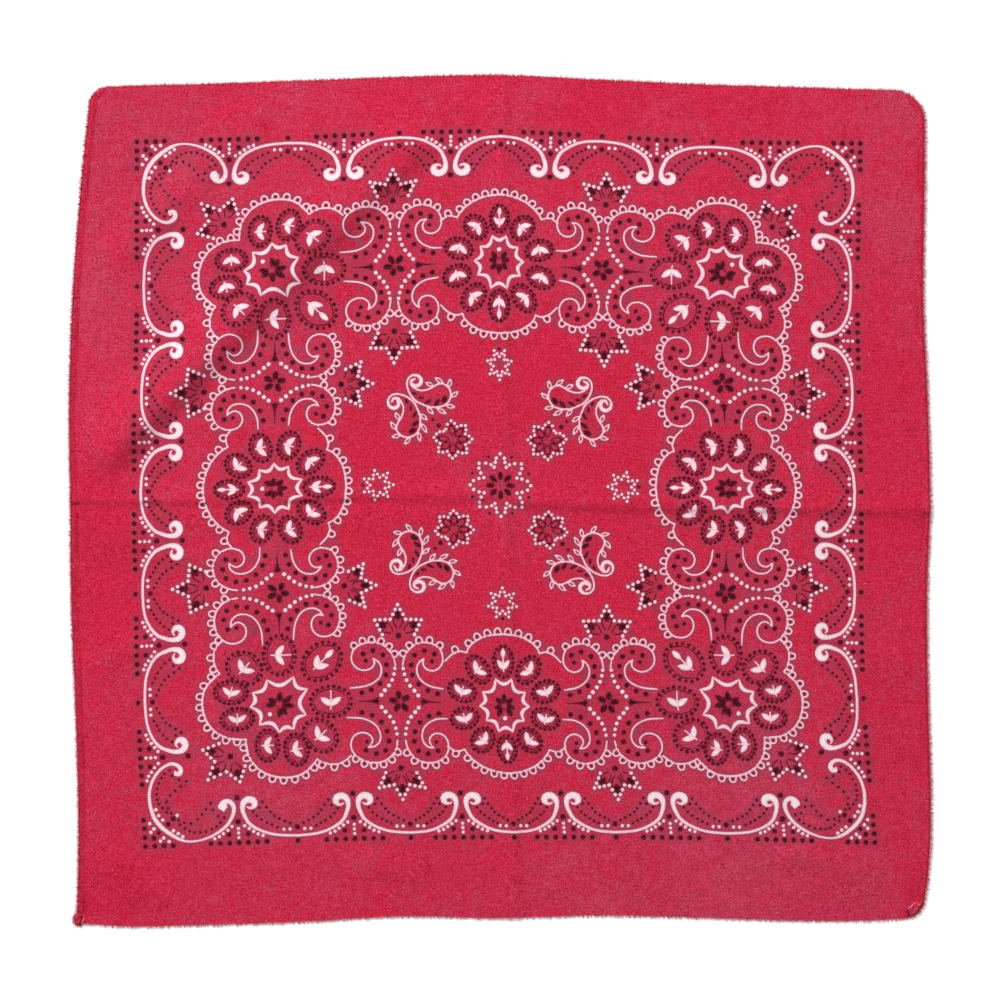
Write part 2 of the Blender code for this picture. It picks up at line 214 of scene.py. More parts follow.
def place(across, up):
    # a point of the cloth, each coordinate from -1 to 1
    reach = outlineRows[-1][0]
    left, foldUp, right = (outlineAt(name, up * reach) for name in ("left", "foldUp", "right"))
    lower, foldAcross, upper = (outlineAt(name, across * reach) for name in ("lower", "foldAcross", "upper"))
    return throughFold(-left, foldUp, right, across), throughFold(-lower, foldAcross, upper, up)


def oneFold(fold, x, y):
    start, end, height, rise, fall, taper = fold
    length = math.dist(start, end)
    runX, runY = (end[0] - start[0]) / length, (end[1] - start[1]) / length
    along = (x - start[0]) * runX + (y - start[1]) * runY
    aside = (x - start[0]) * runY - (y - start[1]) * runX
    ends = softStep(along / taper) * softStep((length - along) / taper)
    return height * ends * softStep(1.0 - np.abs(aside) / np.where(aside > 0, fall, rise))


def foldSide(fold, ahead):
    # a fold's height at a distance ahead of its crest (rising side) or behind it (falling side)
    rise = np.maximum(1.0 - np.maximum(ahead, 0.0) / fold["rise"], 0.0) ** 2
    return fold["height"] * np.where(ahead > 0, rise, softStep(1.0 + ahead / fold["fall"]))


def pressedFolds(x, y):
    upRight = foldSide(pressedUp, outlineAt("foldUp", y) - x)
    above = y - outlineAt("foldAcross", x)
    ridge = foldSide(pressedAcross, above)
    beyond = above - shoulders["crest"]
    north = shoulders["above"] * np.maximum(1.0 - np.maximum(beyond, 0.0) / shoulders["rise"], 0.0) ** 2
    north *= softStep((beyond + shoulders["fall"]) / shoulders["fall"])
    south = shoulders["below"] * softStep((shoulders["start"] - above) / shoulders["climb"])
    south *= softStep((above + shoulders["end"]) / shoulders["descent"])
    crease = np.maximum(north, south)
    return np.maximum(upRight, mixed(crease, ridge, softStep(0.5 + x / foldTurnover)))


def liftAt(x, y):
    # how far the cloth's underside is off the surface
    x, y = np.asarray(x, float), np.asarray(y, float)
    folds = np.max([oneFold(fold, x, y) for fold in softFolds.values()], axis=0)
    fine = sum(oneFold(crease, x, y) for crease in fineCreases)
    return folds + pressedFolds(x, y) + fine


# The print is pen strokes of white and black ink, each with rows of (x, y, half width) in print units. It is
# drawn even and square here, and laid on the cloth further down.
printUnit = 0.000613
printEdge = 362.0


def smoothLine(points, step):
    # a Catmull-Rom curve through (x, y, half width) points, with a new point at each step
    line = []
    ends = [points[0], *points, points[-1]]
    for before, start, end, after in zip(ends, ends[1:], ends[2:], ends[3:]):
        steps = max(int(round(math.dist(start[:2], end[:2]) / step)), 1)
        for part in range(steps):
            t = part / steps
            line.append(tuple(
                0.5 * (2 * b + (c - a) * t + (2 * a - 5 * b + 4 * c - d) * t * t
                       + (3 * b - a - 3 * c + d) * t * t * t)
                for a, b, c, d in zip(before, start, end, after)))
    line.append(tuple(points[-1]))
    return line


def dot(ink, x, y, half):
    return [(ink, [(x, y, half)])]


def pen(ink, points, step=2.6):
    return [(ink, smoothLine(points, step))]


def leaf(ink, base, tip, half, point=0.25, steps=6, widest=0.55):
    # a filled leaf
    line = []
    power = math.log(0.5) / math.log(widest)
    for i in range(steps + 1):
        t = i / steps
        line.append((mixed(base[0], tip[0], t), mixed(base[1], tip[1], t),
                     max(half * math.sin(math.pi * min((0.06 + 0.94 * t), 1.0) ** power) ** 0.8, point)))
    return [(ink, line)]


def openLeaf(ink, base, tip, half, line, filled=0.0, start=0.04, widest=0.56):
    # a leaf drawn as two curved lines that meet at its tip, with the tip filled in
    run = (tip[0] - base[0], tip[1] - base[1])
    length = math.hypot(*run)
    side = (-run[1] / length, run[0] / length)

    def bulgeAt(t):
        if t < widest:
            return half * math.sin(math.pi / 2 * t / widest)
        return half * (1.0 - ((t - widest) / (1.0 - widest)) ** 1.45)

    strokes = []
    for hand in (-1, 1):
        points = []
        for i in range(9):
            t = start + (1.0 - start) * i / 8
            bulge = hand * bulgeAt(t)
            points.append((base[0] + run[0] * t + side[0] * bulge, base[1] + run[1] * t + side[1] * bulge,
                           line * mixed(0.75, 1.15, t)))
        strokes += pen(ink, points)
    if filled > 0:
        points = []
        for i in range(8):
            t = mixed(1.0 - filled, 1.0, i / 7)
            points.append((base[0] + run[0] * t, base[1] + run[1] * t,
                           max(bulgeAt(t) * min(0.12 + 2.4 * i / 7, 1.0), 0.3)))
        strokes += [(ink, points)]
    return strokes


def ringOfDots(ink, a, b, turn, long, wide, count, half):
    # dots round an ellipse, evenly spaced, with its long axis along turn
    fine = 200
    lx, ly = polar(1.0, turn)
    points = []
    for i in range(fine + 1):
        angle = math.tau * i / fine
        u, v = long / 2 * math.cos(angle), wide / 2 * math.sin(angle)
        points.append((a + u * lx + v * ly, b + u * ly - v * lx))
    lengths = [0.0]
    for p, q in zip(points, points[1:]):
        lengths.append(lengths[-1] + math.dist(p, q))
    strokes = []
    j = 0
    for k in range(count):
        want = lengths[-1] * (k + 0.5) / count
        while lengths[j + 1] < want:
            j += 1
        t = (want - lengths[j]) / (lengths[j + 1] - lengths[j])
        strokes += dot(ink, mixed(points[j][0], points[j + 1][0], t), mixed(points[j][1], points[j + 1][1], t),
                       half + 0.2 * math.sin(2.4 * k + long))
    return strokes


def ovalLine(ink, a, b, turn, long, wide, half):
    # a thin line round an ellipse
    lx, ly = polar(1.0, turn)
    points = []
    for i in range(25):
        angle = math.tau * i / 24
        u, v = long / 2 * math.cos(angle), wide / 2 * math.sin(angle)
        points.append((a + u * lx + v * ly, b + u * ly - v * lx, half + 0.14 * math.sin(1.3 * i + wide)))
    return pen(ink, points)


def sprig(a, b, turn, size, threeLeaves, stem=1.0):
    # two white leaves and a stem; turn is the stem's direction
    strokes = []
    size *= 1.07 if threeLeaves else 1.13
    back = polar((-0.60 if threeLeaves else -0.24) * size, turn)
    base = (a + back[0], b + back[1])
    spread, reach, half = (36, 0.92, 0.24) if threeLeaves else (54, 0.96, 0.26)
    for hand in (-1, 1):
        way = polar(reach * size, turn + hand * spread)
        strokes += leaf("white", base, (base[0] + way[0], base[1] + way[1]), half * size, 0.3, 8, 0.45)
    way = polar((0.98 if threeLeaves else 0.64 * stem) * size, turn)
    tail = polar(-0.24 * stem * size, turn + 8)
    strokes += pen("white", [(base[0] + tail[0], base[1] + tail[1], 0.7), (base[0], base[1], 0.95),
                             (base[0] + way[0], base[1] + way[1], 0.75)], 1.6)
    if threeLeaves:
        far = polar(1.75 * size, turn)
        strokes += leaf("white", (base[0] + way[0], base[1] + way[1]), (base[0] + far[0], base[1] + far[1]),
                        0.22 * size, 0.3, 8, 0.5)
    return strokes


def oval(distance, degrees, long, wide, count, size, sprigTurn, threeLeaves=False, turn=None, stem=1.0):
    a, b = polar(distance, degrees)
    turn = degrees if turn is None else turn
    strokes = ringOfDots("black", a, b, turn, long, wide, count, 2.05)
    strokes += ovalLine("black", a, b, turn, long - 6.5, wide - 6.5, 0.62)
    strokes += sprig(a, b, sprigTurn, size, threeLeaves, stem)
    return strokes


def cuspRing(cusps, dip, thick):
    # a white ring of arcs that bulge inwards between its cusps, given as (radius, degrees)
    strokes = []
    for (r0, d0), (r1, d1) in zip(cusps, cusps[1:] + [(cusps[0][0], cusps[0][1] + 360)]):
        p0, p1 = polar(r0, d0), polar(r1, d1)
        chord = math.dist(p0, p1)
        mid = (p0[0] + p1[0]) / 2, (p0[1] + p1[1]) / 2
        far = math.hypot(*mid)
        points = []
        for i in range(13):
            t = i / 12
            bow = dip * chord * math.sin(math.pi * t)
            points.append((mixed(p0[0], p1[0], t) - mid[0] / far * bow,
                           mixed(p0[1], p1[1], t) - mid[1] / far * bow,
                           mixed(0.35, thick, math.sin(math.pi * t) ** 0.7)))
        strokes += [("white", points)]
    return strokes


def wreath(leaves, ring):
    # dark leaves on an open ring; a leaf is the x and y of its base and of its tip, and its half width
    strokes = pen("black", [(x, y, 1.5) for x, y in ring], 1.6)
    for baseX, baseY, tipX, tipY, half in leaves:
        strokes += leaf("black", (baseX, baseY), (tipX, tipY), half, 0.3, 7, 0.38)
    return strokes


sideCusps = [(28.2, 15), (25.3, 51), (25.8, 88), (26.2, 122), (28.8, 163)]
sideLeaves = ((3.6, 3.0, 7.0, 10.8, 3.0), (3.8, 0.6, 10.4, 2.2, 2.9), (3.4, -2.6, 8.2, -8.2, 2.9))
sideRing = [(-4.6, 3.4), (-5.4, 0.2), (-4.4, -3.6), (0, -6.2), (4.4, -3.6), (5.4, 0.2), (4.6, 3.4)]
cornerLeaves = (
    (4.4, 1.8, 8.8, 9.4, 3.2), (4.8, 0.6, 12.6, 1.9, 3.0), (-4.4, 1.8, -8.8, 9.4, 3.2),
    (-4.8, 0.6, -12.6, 1.9, 3.0), (-3.6, -3.0, -12.0, -9.2, 3.2), (-1.4, -4.6, -3.2, -16.4, 3.2),
    (2.6, -3.8, 8.8, -10.4, 3.2),
)
cornerRing = [(-5.6, 3.2), (-6.6, 0.2), (-5.2, -4.2), (-0.6, -6.6), (4.2, -4.6), (6.2, -0.4), (5.6, 3.2)]
teardrop = ((-0.92, 0.06), (-1.06, 0.40), (-0.80, 0.82), (0, 1.02), (0.80, 0.82), (1.06, 0.40), (0.92, 0.06))


def loops(line, pitch, skipStart, skipEnd, hand, tall=6.3, wide=3.0, half=0.95):
    # small teardrop loops that stand on a line
    lengths = [0.0]
    for p, q in zip(line, line[1:]):
        lengths.append(lengths[-1] + math.dist(p[:2], q[:2]))
    total = lengths[-1] - skipStart - skipEnd
    count = max(int(round(total / pitch)), 1)
    strokes = []
    j = 0
    for k in range(count):
        want = skipStart + total * (k + 0.5) / count
        while j < len(line) - 2 and lengths[j + 1] < want:
            j += 1
        t = (want - lengths[j]) / (lengths[j + 1] - lengths[j])
        x, y = mixed(line[j][0], line[j + 1][0], t), mixed(line[j][1], line[j + 1][1], t)
        rx, ry = line[j + 1][0] - line[j][0], line[j + 1][1] - line[j][1]
        n = math.hypot(rx, ry)
        rx, ry = rx / n, ry / n
        ox, oy = -ry * hand, rx * hand
        points = []
        for across, up in teardrop:
            points.append((x + rx * across * wide + ox * up * tall, y + ry * across * wide + oy * up * tall,
                           half))
        strokes += dot("black", x + ox * tall * 0.5, y + oy * tall * 0.48, 1.0)
        strokes += pen("white", points, 1.6)
    return strokes


def outline(points, hand=None, skipStart=3.0, skipEnd=3.0, pitch=10.8):
    strokes = pen("white", points)
    if hand:
        strokes += loops(strokes[0][1], pitch, skipStart, skipEnd, hand)
    return strokes


# the side medallion's outline: the side of its loops, (bare start, bare end, pitch of the loops), its line
sideOutline = (
    (1, (0.0, 4.0, 9.6), ((0, 70.8, 1.0), (12, 69.0, 1.0), (22, 65.8, 1.0), (30, 61.2, 1.0), (36.2, 55.8, 1.0),
                          (40.8, 50.3, 1.0), (43, 46.2, .8))),
    (1, (4.5, 5.5, 12), ((43, 46.2, .8), (48.4, 48.5, 1.0), (54, 47.4, 1.0), (59.8, 43.8, .8))),
    (-1, (0.0, 4.0, 9.6), ((0, -71.4, 1.0), (12, -70.1, 1.0), (22, -67.2, 1.0), (30, -62.4, 1.0),
                           (35.4, -56.6, 1.0), (37, -52, .8))),
    (-1, (4.5, 8.5, 12), ((37, -52, .8), (42, -53.6, 1.0), (46.6, -52.8, 1.0), (51.6, -50.4, 1.0),
                          (55.6, -46.8, 1.0), (59, -43, .8))),
)


def sideMedallion():
    strokes = cuspRing(sideCusps + [(far, 360 - turn) for far, turn in reversed(sideCusps)], 0.33, 1.98)
    otherLeaves = tuple((-x0, y0, -x1, y1, half) for x0, y0, x1, y1, half in sideLeaves)
    strokes += wreath(sideLeaves + otherLeaves + ((0, -3.8, 0, -12.8, 2.8),), sideRing)
    strokes += dot("white", 0, 12.6, 2.3)
    for hand in (-1, 1):
        for degrees, distance, long, wide, size in (
            (33.3, 43.2, 27.5, 21.5, 10.2),
            (71, 43.4, 28.5, 21, 10.4),
            (108, 44.8, 28, 21.5, 10.4),
            (144.5, 44, 30, 21, 10.2),
        ):
            strokes += oval(distance, hand * degrees, long, wide, 16, size, hand * (106 + 0.84 * degrees))
    strokes += oval(45.0, 0, 29, 18.5, 16, 9.6, 0, True)
    strokes += oval(44.2, 180, 31, 20, 17, 10.6, 180, True)
    for hand in (-1, 1):
        for turn, loopsAt, points in sideOutline:
            strokes += outline([(hand * x, y, half) for x, y, half in points], hand * turn, *loopsAt)
    return strokes


outerScroll = (
    (4, 39.7, .9), (5.6, 47.5, .92), (9.7, 54.5, .95), (16, 59.8, .95), (24, 62.3, .95), (32.5, 61.8, .95),
    (40, 58.5, .95), (46, 53, .95), (48.6, 46.5, .95), (48, 40, .95), (45, 34.7, .95), (39.5, 32, .95),
    (33.8, 32.6, .95), (29.6, 36, .95), (28.5, 41.3, .92), (32.6, 47, .8),
)
outerBack = (
    (32.6, 47, .8), (26.9, 46.2, .95), (22, 41.4, .95), (20.8, 34.8, .92), (22.8, 27.6, .92), (27.8, 22, .92),
    (34.6, 18.4, .92), (42.4, 17, 1.0), (54, 16.4, .7),
)
innerScroll = (
    (3.6, 36.5, .9), (5.4, 44.3, .92), (9.8, 52, .95), (16.2, 57.8, .95), (24.3, 60.4, .95), (33, 60, .95),
    (40.2, 56.7, .95), (44.4, 52, .95), (46, 45.4, .95), (45, 39.5, .95), (41, 34.3, .95), (34.6, 31.8, .95),
    (28, 33.5, .95), (24.6, 38.2, .92), (25.5, 43.8, .9),
)
innerBack = (
    (25.5, 43.8, .9), (21.4, 41.2, .95), (18.2, 36, .95), (18, 29.7, .95), (20.5, 23.6, .92),
    (26.5, 18.4, .92), (34, 15.4, .92), (41, 14.4, 1.0), (50, 13.8, .7),
)
outerScrollDots = (
    (16.5, 50.3, 2.8), (25.8, 53.3, 2.8), (36, 49.8, 2.8), (34.8, 41, 2.2), (12.6, 40.8, 2.8),
    (13.9, 30.8, 2.8), (19.4, 21.4, 2.8), (28.6, 14.6, 2.8), (38.6, 11.4, 2.8),
)
innerScrollDots = (
    (15.9, 47.6, 2.8), (26, 52.3, 2.8), (36, 49, 2.8), (33.3, 41.5, 2.4), (12.6, 37.5, 2.8), (13.3, 27, 2.8),
    (19.5, 17.8, 2.8), (28.5, 11.6, 2.8), (38.2, 8.6, 2.8),
)
whiteCurve = (
    (4.3, 33.5, 1.9), (5.3, 27.7, 2), (7.3, 21.6, 2.1), (10.6, 15.9, 2.2), (14.9, 11, 2.3), (18.6, 6.2, 2.2),
)
flowerThorn = ((23.4, 2.9), (25.4, 2.3), (28, 1.5), (31.5, 0.95), (36, 0.6), (42, .35))
flowerPetals = ((-5.7, 7.6), (3.8, 8), (8.1, -.7), (1.4, -7.6), (-7.2, -3.7))


def widened(x, spread):
    return x if x < 20 else 20 + (x - 20) * spread


def cluster():
    # a flower between two pairs of scrolls
    strokes = []
    for hand in (-1, 1):
        for up, rows, back, dots in ((1, outerScroll, outerBack, outerScrollDots),
                                     (-1, innerScroll, innerBack, innerScrollDots)):
            # scrolls are wider on the corner's side
            spread, ending = (1.075, 1.0) if hand > 0 else (0.94, 0.80)
            line = [(hand * widened(x, spread), up * y, half) for x, y, half in rows]
            strokes += pen("white", line)
            strokes += loops(smoothLine(line[:8], 2.6), 9.3 if hand > 0 else 10.2, 7.0, 0.5, hand * up)
            line = [(hand * widened(x, spread if x < 42 else ending), up * y, half) for x, y, half in back]
            strokes += pen("white", line)
            for x, y, w in dots:
                strokes += dot("black", hand * x, up * y, w)
            for x, y, w in whiteCurve:
                strokes += dot("white", hand * x, up * y, w)
    for x, y in flowerPetals:
        strokes += leaf("black", (x * .30, y * .30), (x * 1.32, y * 1.32), 3.2, 0.5, 7, 0.55)
    strokes += dot("black", 0.2, 0.6, 0.9)
    for hand in (-1, 1):
        strokes += [("black", [(hand * 22.8, -3.4, 0.7), (hand * 22.8, 3.4, 0.7)])]
        strokes += [("black", [(hand * x, 0, half) for x, half in flowerThorn])]
    return strokes


def palmette(sideReach, sideUp, tall=32.0, notch=(7.7, 17.0)):
    # base dot at the origin, pointing along +y
    strokes = dot("black", 0, 0, 3.2)
    strokes += openLeaf("black", (0, 5.5), (0, tall - 4.2), 4.8, 0.8, 0.5, 0.10, 0.5)
    turn = math.degrees(math.atan2(sideReach - 5, sideUp - 3.6))
    for hand in (-1, 1):
        base = polar(5.5, hand * (turn + 4))
        tip = polar(25.0, hand * turn)
        strokes += openLeaf("black", base, tip, 4.8, 0.8, 0.5, 0.10, 0.5)
    v = (sideReach, sideUp)
    end = (sideReach - 7.2, sideUp - 15.2)
    path = [end, v, notch, (0, tall)]
    points = []
    for hand in (-1, 1):
        for (p, q), gaps in zip(zip(path, path[1:]), (3, 3, 3)):
            for k in range(gaps):
                points.append((hand * mixed(p[0], q[0], k / gaps), mixed(p[1], q[1], k / gaps)))
    points.append((0, tall))
    for x, y in points:
        strokes += dot("white", x, y, 1.95)
    return strokes


def cornerMedallion():
    # +y is the diagonal outwards, and the tables give the half with x > 0
    half = [(28.5, 44.5), (29.5, 74), (29.5, 112), (32.5, 162.5)]
    cusps = [(28.0, 0)] + half + [(r, 360 - d) for r, d in reversed(half)]
    strokes = cuspRing(cusps, 0.29, 2.18)
    strokes += wreath(cornerLeaves, cornerRing)
    strokes += dot("white", 0, 12.8, 2.4)
    for hand in (-1, 1):
        for degrees, distance, long, wide, count, size, turn, along, stem in (
            (28.5, 42.5, 32, 22.5, 18, 9.8, 135, 45, 1.15),
            (64, 49, 32, 23, 18, 9.8, 150, 54, 1.15),
            (95.5, 51.8, 37, 31, 19, 11.2, 176, 90, 1.35),
            (136.5, 51.5, 41, 31.5, 20, 11.6, 225, 134, 1.75),
        ):
            strokes += oval(distance, hand * degrees, long, wide, count, size, hand * turn, False,
                            hand * along, stem)
    strokes += oval(61, 180, 44, 35.5, 20, 13.2, 180, True)
    # the outline's two lobes, drawn along the axes and then turned by 45 degrees
    lobe = [(-33, 33, .9), (-32.6, 41, 1.1), (-30, 52, 1.05), (-22.5, 63.2, 1.05), (-11.5, 70.6, 1.05),
            (1.5, 73.8, 1.05), (14, 73.2, 1.05), (23.5, 69.5, 1.1), (31, 62.8, 1.1), (36, 56.6, .9)]
    small = [(36, 56.6, .9), (42.6, 60.4, 1.0), (51.5, 62.3, 1.0), (60.5, 60.8, 1.0), (69.8, 54.2, 1.0)]
    slant = math.sqrt(0.5)
    for hand in (-1, 1):
        for rows in (lobe, small):
            line = [(hand * (x + y) * slant, (y - x) * slant, w) for x, y, w in rows]
            strokes += outline(line, hand, 3.0 if rows is lobe else 1.5, 3.0)
    return strokes


halfArch = (
    (40, 6.3, 1.45), (28.3, 9, 1.5), (17.6, 14, 1.6), (10.4, 19.9, 1.8), (7, 26.5, 2.1), (4.9, 33.5, 2.4),
    (5.9, 40.4, 3.2), (10.6, 43.9, 3.6), (15.9, 42.2, 3.9), (17.0, 38.0, 3.1), (14.0, 34.9, 1.7),
    (11.2, 34.9, 1.1), (9.4, 36.4, 0.8),
)
smallUpper = ((37.9, 14.6), (32.9, 17.1), (28.1, 19.5), (22.9, 22.9), (18.6, 26.5), (15.3, 31.2))
smallLower = (
    (50.6, 17.8), (45.5, 20.3), (40.3, 23), (35.4, 26.1), (32.1, 30.1), (28.3, 35.0), (24.5, 40.4),
    (21.6, 34.8),
)
groupWhites = ((0, 5.2), (0, 9.9), (0, 14.5), (6.2, 17.1), (10.6, 14.1), (14.9, 11), (19.1, 8.1), (23.8, 6.4))
cornerWhiteRow = ((6.2, 16.9), (10.4, 13.0), (14.9, 9.9), (19.0, 6.9), (23.6, 5.0))


def archSide(half, hand, crown):
    # one half of an arch from the pair's centre; x away from the pair, y towards the field
    def across(x):
        return hand * (x if x < 20 else 20 + (x - 20) * (half - 20) / 37.3)

    rise = crown - 5.2
    line = [(across(x), y + rise * max(x - 17.6, 0) / 30, w) for x, y, w in halfArch]
    strokes = pen("white", [(hand * half, crown, 1.45)] + line)
    for x, y in smallUpper + smallLower:
        strokes += dot("black", across(x), y, 1.65)
    for x in (7.2, 13.2):
        strokes += dot("white", hand * (half - x), 11.9, 1.85)
    return strokes


def pairGroup(byCorner):
    strokes = []
    for k in range(-3, 4):
        strokes += dot("black", k * 9.15, 0, 2.8)
    for hand in (-1, 1):
        strokes += dot("black", hand * 9.3, 8.7, 2.7)
        for x, y in cornerWhiteRow if byCorner and hand > 0 else groupWhites[3:]:
            strokes += dot("white", hand * x, y, 1.85)
    for x, y in groupWhites[:3]:
        strokes += dot("white", x, y, 1.8)
    strokes += dot("black", 0, 21.4, 3.1)
    strokes += dot("black", 0, 46, 3.0)
    return strokes


cornerLine = (
    (77.4, 37.0, 5.2), (77.2, 38.0, 5.0), (78.2, 41.0, 3.6), (82.2, 43.2, 2.6), (86.6, 40.2, 2.6),
    (88.3, 34.6, 2.3), (85.8, 26.0, 1.9), (78.7, 16.4, 1.7), (66, 8.2, 1.4), (53.5, 4.0, 1.15),
    (41.6, 3.4, 1.2), (31.4, 7.2, 1.8), (19.4, 16.4, 2.3), (12.2, 25.2, 2.3), (8.6, 33.5, 2.1),
    (6.6, 44, 1.9), (6.8, 56, 1.7), (10.6, 68, 1.6), (17.8, 78.2, 1.6), (26.6, 83.8, 1.7), (33.6, 83.4, 2.1),
    (38.2, 79, 2.5), (37.4, 74.0, 2.6), (33.4, 73.4, 2.3), (32.8, 76.0, 1.4),
)
cornerWhites = (
    (14.9, 4.9), (18.2, 8), (23.3, 4.1), (36.9, 8.6), (32.6, 12.0), (28.1, 15.2), (6.0, 14.4), (9.2, 18.0),
    (5.4, 23.4), (18.2, 26.6), (14.5, 31.4), (12.2, 37.6), (32.6, 30.8),
)
cornerSmall = (
    (34.8, 21), (39.4, 17.1), (43.9, 13.9), (48.6, 12.5), (54.1, 12.3), (59.8, 12.7), (65.4, 15.1),
    (70.7, 17.7), (74.8, 21.1), (78.3, 26.2), (33.7, 25.4), (39.1, 22.8), (45.8, 21.8), (52.2, 25.8),
    (56.8, 30.5), (60.9, 36), (65.8, 41.7), (67.8, 34.7), (72.5, 28.2),
)


def cornerGroup():
    # from the corner of the frame of dots, x along the selvedge and y along the side, both inward
    strokes = pen("white", cornerLine)
    strokes += dot("black", 0, 0, 2.8)
    strokes += dot("black", 8.6, 8.2, 2.8)
    for x, y in ((9.15, 0), (18.3, 0), (27.2, -.3)):
        strokes += dot("black", x, y, 2.8)
        strokes += dot("black", y, x, 2.8)
    strokes += dot("black", 13.6, 13.4, 2.4)
    for x in (22.6, 28.0):
        strokes += dot("black", x + .6, x - .6, 2.8)
    for x, y in cornerWhites:
        strokes += dot("white", x, y, 1.95)
    for x, y in cornerSmall:
        strokes += dot("black", x, y, 1.65)
        strokes += dot("black", y + 1.5, x - 0.5, 1.65)
    return strokes


def placed(strokes, x, y, across, out):
    # strokes moved to (x, y), with their x along across and their y along out
    return [(ink, [(x + a * across[0] + b * out[0], y + a * across[1] + b * out[1], w) for a, b, w in points])
            for ink, points in strokes]


def mirrored(strokes, turnX, turnY):
    return [(ink, [(x * turnX, y * turnY, w) for x, y, w in points]) for ink, points in strokes]


def dottedFlower():
    # +y is away from its stem
    strokes = []
    for k in range(7):
        degrees = -141 + 47 * k
        strokes += openLeaf("black", polar(3.6, degrees), polar(15.6, degrees), 2.9, 0.72, 0.2)
    for k in range(7):
        degrees = -141 + 47 * k
        strokes += dot("white", *polar(19.0, degrees), 1.65)
        if k < 6:
            for part, radius in ((0.24, 16.4), (0.5, 13.4), (0.76, 16.4)):
                strokes += dot("white", *polar(radius, degrees + 47 * part), 1.65)
    for part, radius in ((0.16, 17.3), (0.32, 15.2), (0.46, 12.4), (0.64, 12.6), (0.82, 16.3)):
        strokes += dot("white", *polar(radius, 141 + 78 * part), 1.65)
    strokes += dot("black", 0, -20.0, 2.6)
    strokes += dot("black", 0, -28.3, 1.9)
    return strokes


def smallStar(wide=1.0):
    # seven points, one of them along +y
    strokes = []
    for k in range(7):
        degrees = 360 / 7 * k
        strokes += dot("white", *polar(15.3, degrees), 1.65)
        strokes += dot("white", *polar(7.8, degrees + 180 / 7), 1.6)
        for part in (-0.21, 0.21):
            strokes += dot("white", *polar(11.2, degrees + part * 360 / 7), 1.6)
    strokes += dot("black", 0, -15.4, 1.9)
    return [(ink, [(x * wide, y, w) for x, y, w in points]) for ink, points in strokes]


starDots = (
    (0, 32.3), (4.0, 27.9), (4.8, 23.6), (5.9, 18.6), (9.1, 21.2), (14.4, 22.6), (20.9, 22.4), (21.1, 17.5),
    (19.3, 12.5), (16.3, 7.8), (21.2, 6.9), (26.6, 4.6), (29.9, 0),
)


def centreStar():
    strokes = dot("black", 0, 0, 0.8)
    for k in range(8):
        degrees = 45 * k
        strokes += leaf("black", polar(5.2, degrees), polar(14.0, degrees), 2.9, 0.4, 6, 0.6)
    for hx, hy in ((1, 1), (-1, 1), (1, -1), (-1, -1)):
        for x, y in starDots:
            if (x == 0 and hx < 0) or (y == 0 and hy < 0):
                continue
            strokes += dot("white", hx * x, hy * y, 1.85)
        for x, y in ((11.2, 29.1), (27.8, 12.1)):
            strokes += dot("black", hx * x, hy * y, 1.7)
    return strokes


# the paisley: its line, its fringe's leaves from base to tip, and its dark seeds with their direction
paisleyLine = (
    (-1.0, 2.6, .9), (-4.4, .8, 1.4), (-4.9, -3.2, 1.3), (-1.4, -6.9, 1.0), (3.2, -8.9, .95), (9, -9, .95),
    (15.2, -6.8, .95), (19.8, -3.9, .95), (25, -2.4, .95), (30.2, -4.4, 1.0), (33.8, -8.8, 1.0),
    (34.7, -14.8, 1.0), (32, -21.2, 1.0), (26.6, -24.9, 1.0), (19.9, -26.0, 1.0), (13.2, -25.6, 1.0),
    (6.6, -23.2, 1.0), (-.2, -19.6, 1.0), (-6.4, -12, 1.0), (-9.1, -3.2, 1.0), (-7.8, 3, 1.05),
    (-3.4, 6.2, 1.2), (2, 5.6, 1.7), (5, 1.6, 2.1), (4.2, -2.6, 2.1), (.2, -4.6, 2.0), (-3.0, -3.2, 1.6),
)
paisleyFringe = (
    (17.4, -5, 10.4, -1.7), (27.4, -2.1, 19.9, 2.9), (32.8, -6.6, 34, 1.2), (35.3, -16.2, 41.1, -11.2),
    (29.9, -24.5, 37.8, -25.7), (20.8, -27.4, 29.1, -31.9), (11.2, -26.1, 16.6, -32.3),
)
paisleySeeds = (
    (-1.6, -12.4, 1.4, -.8, 1.4), (5, -16.6, 2, 0, 1.3), (11.6, -20.7, 2.4, 1.4, 1.5),
    (20.8, -21.6, 1.6, 2.4, 2.0), (28.2, -18.3, 1.2, 2.0, 2.4),
)


def paisley():
    # the upper one of a pair, about the eye of its curl
    strokes = pen("white", paisleyLine, 2.2)
    for bx, by, tx, ty in paisleyFringe:
        strokes += openLeaf("white", (bx, by), (mixed(bx, tx, 1.08), mixed(by, ty, 1.08)), 1.7, .72)
    for x, y, dx, dy, w in paisleySeeds:
        strokes += leaf("black", (x - dx * 1.7, y - dy * 1.7), (x + dx * 1.7, y + dy * 1.7), w * 1.15)
    return strokes


paisleyEye = (-36.9, 58.5)


def paisleyPair():
    # one paisley beside a star flower's centre, and its mirror image about the diagonal
    one = placed(paisley(), *paisleyEye, (1, 0), (0, 1))
    other = [(ink, [(-y, -x, half) for x, y, half in points]) for ink, points in one]
    return one + other


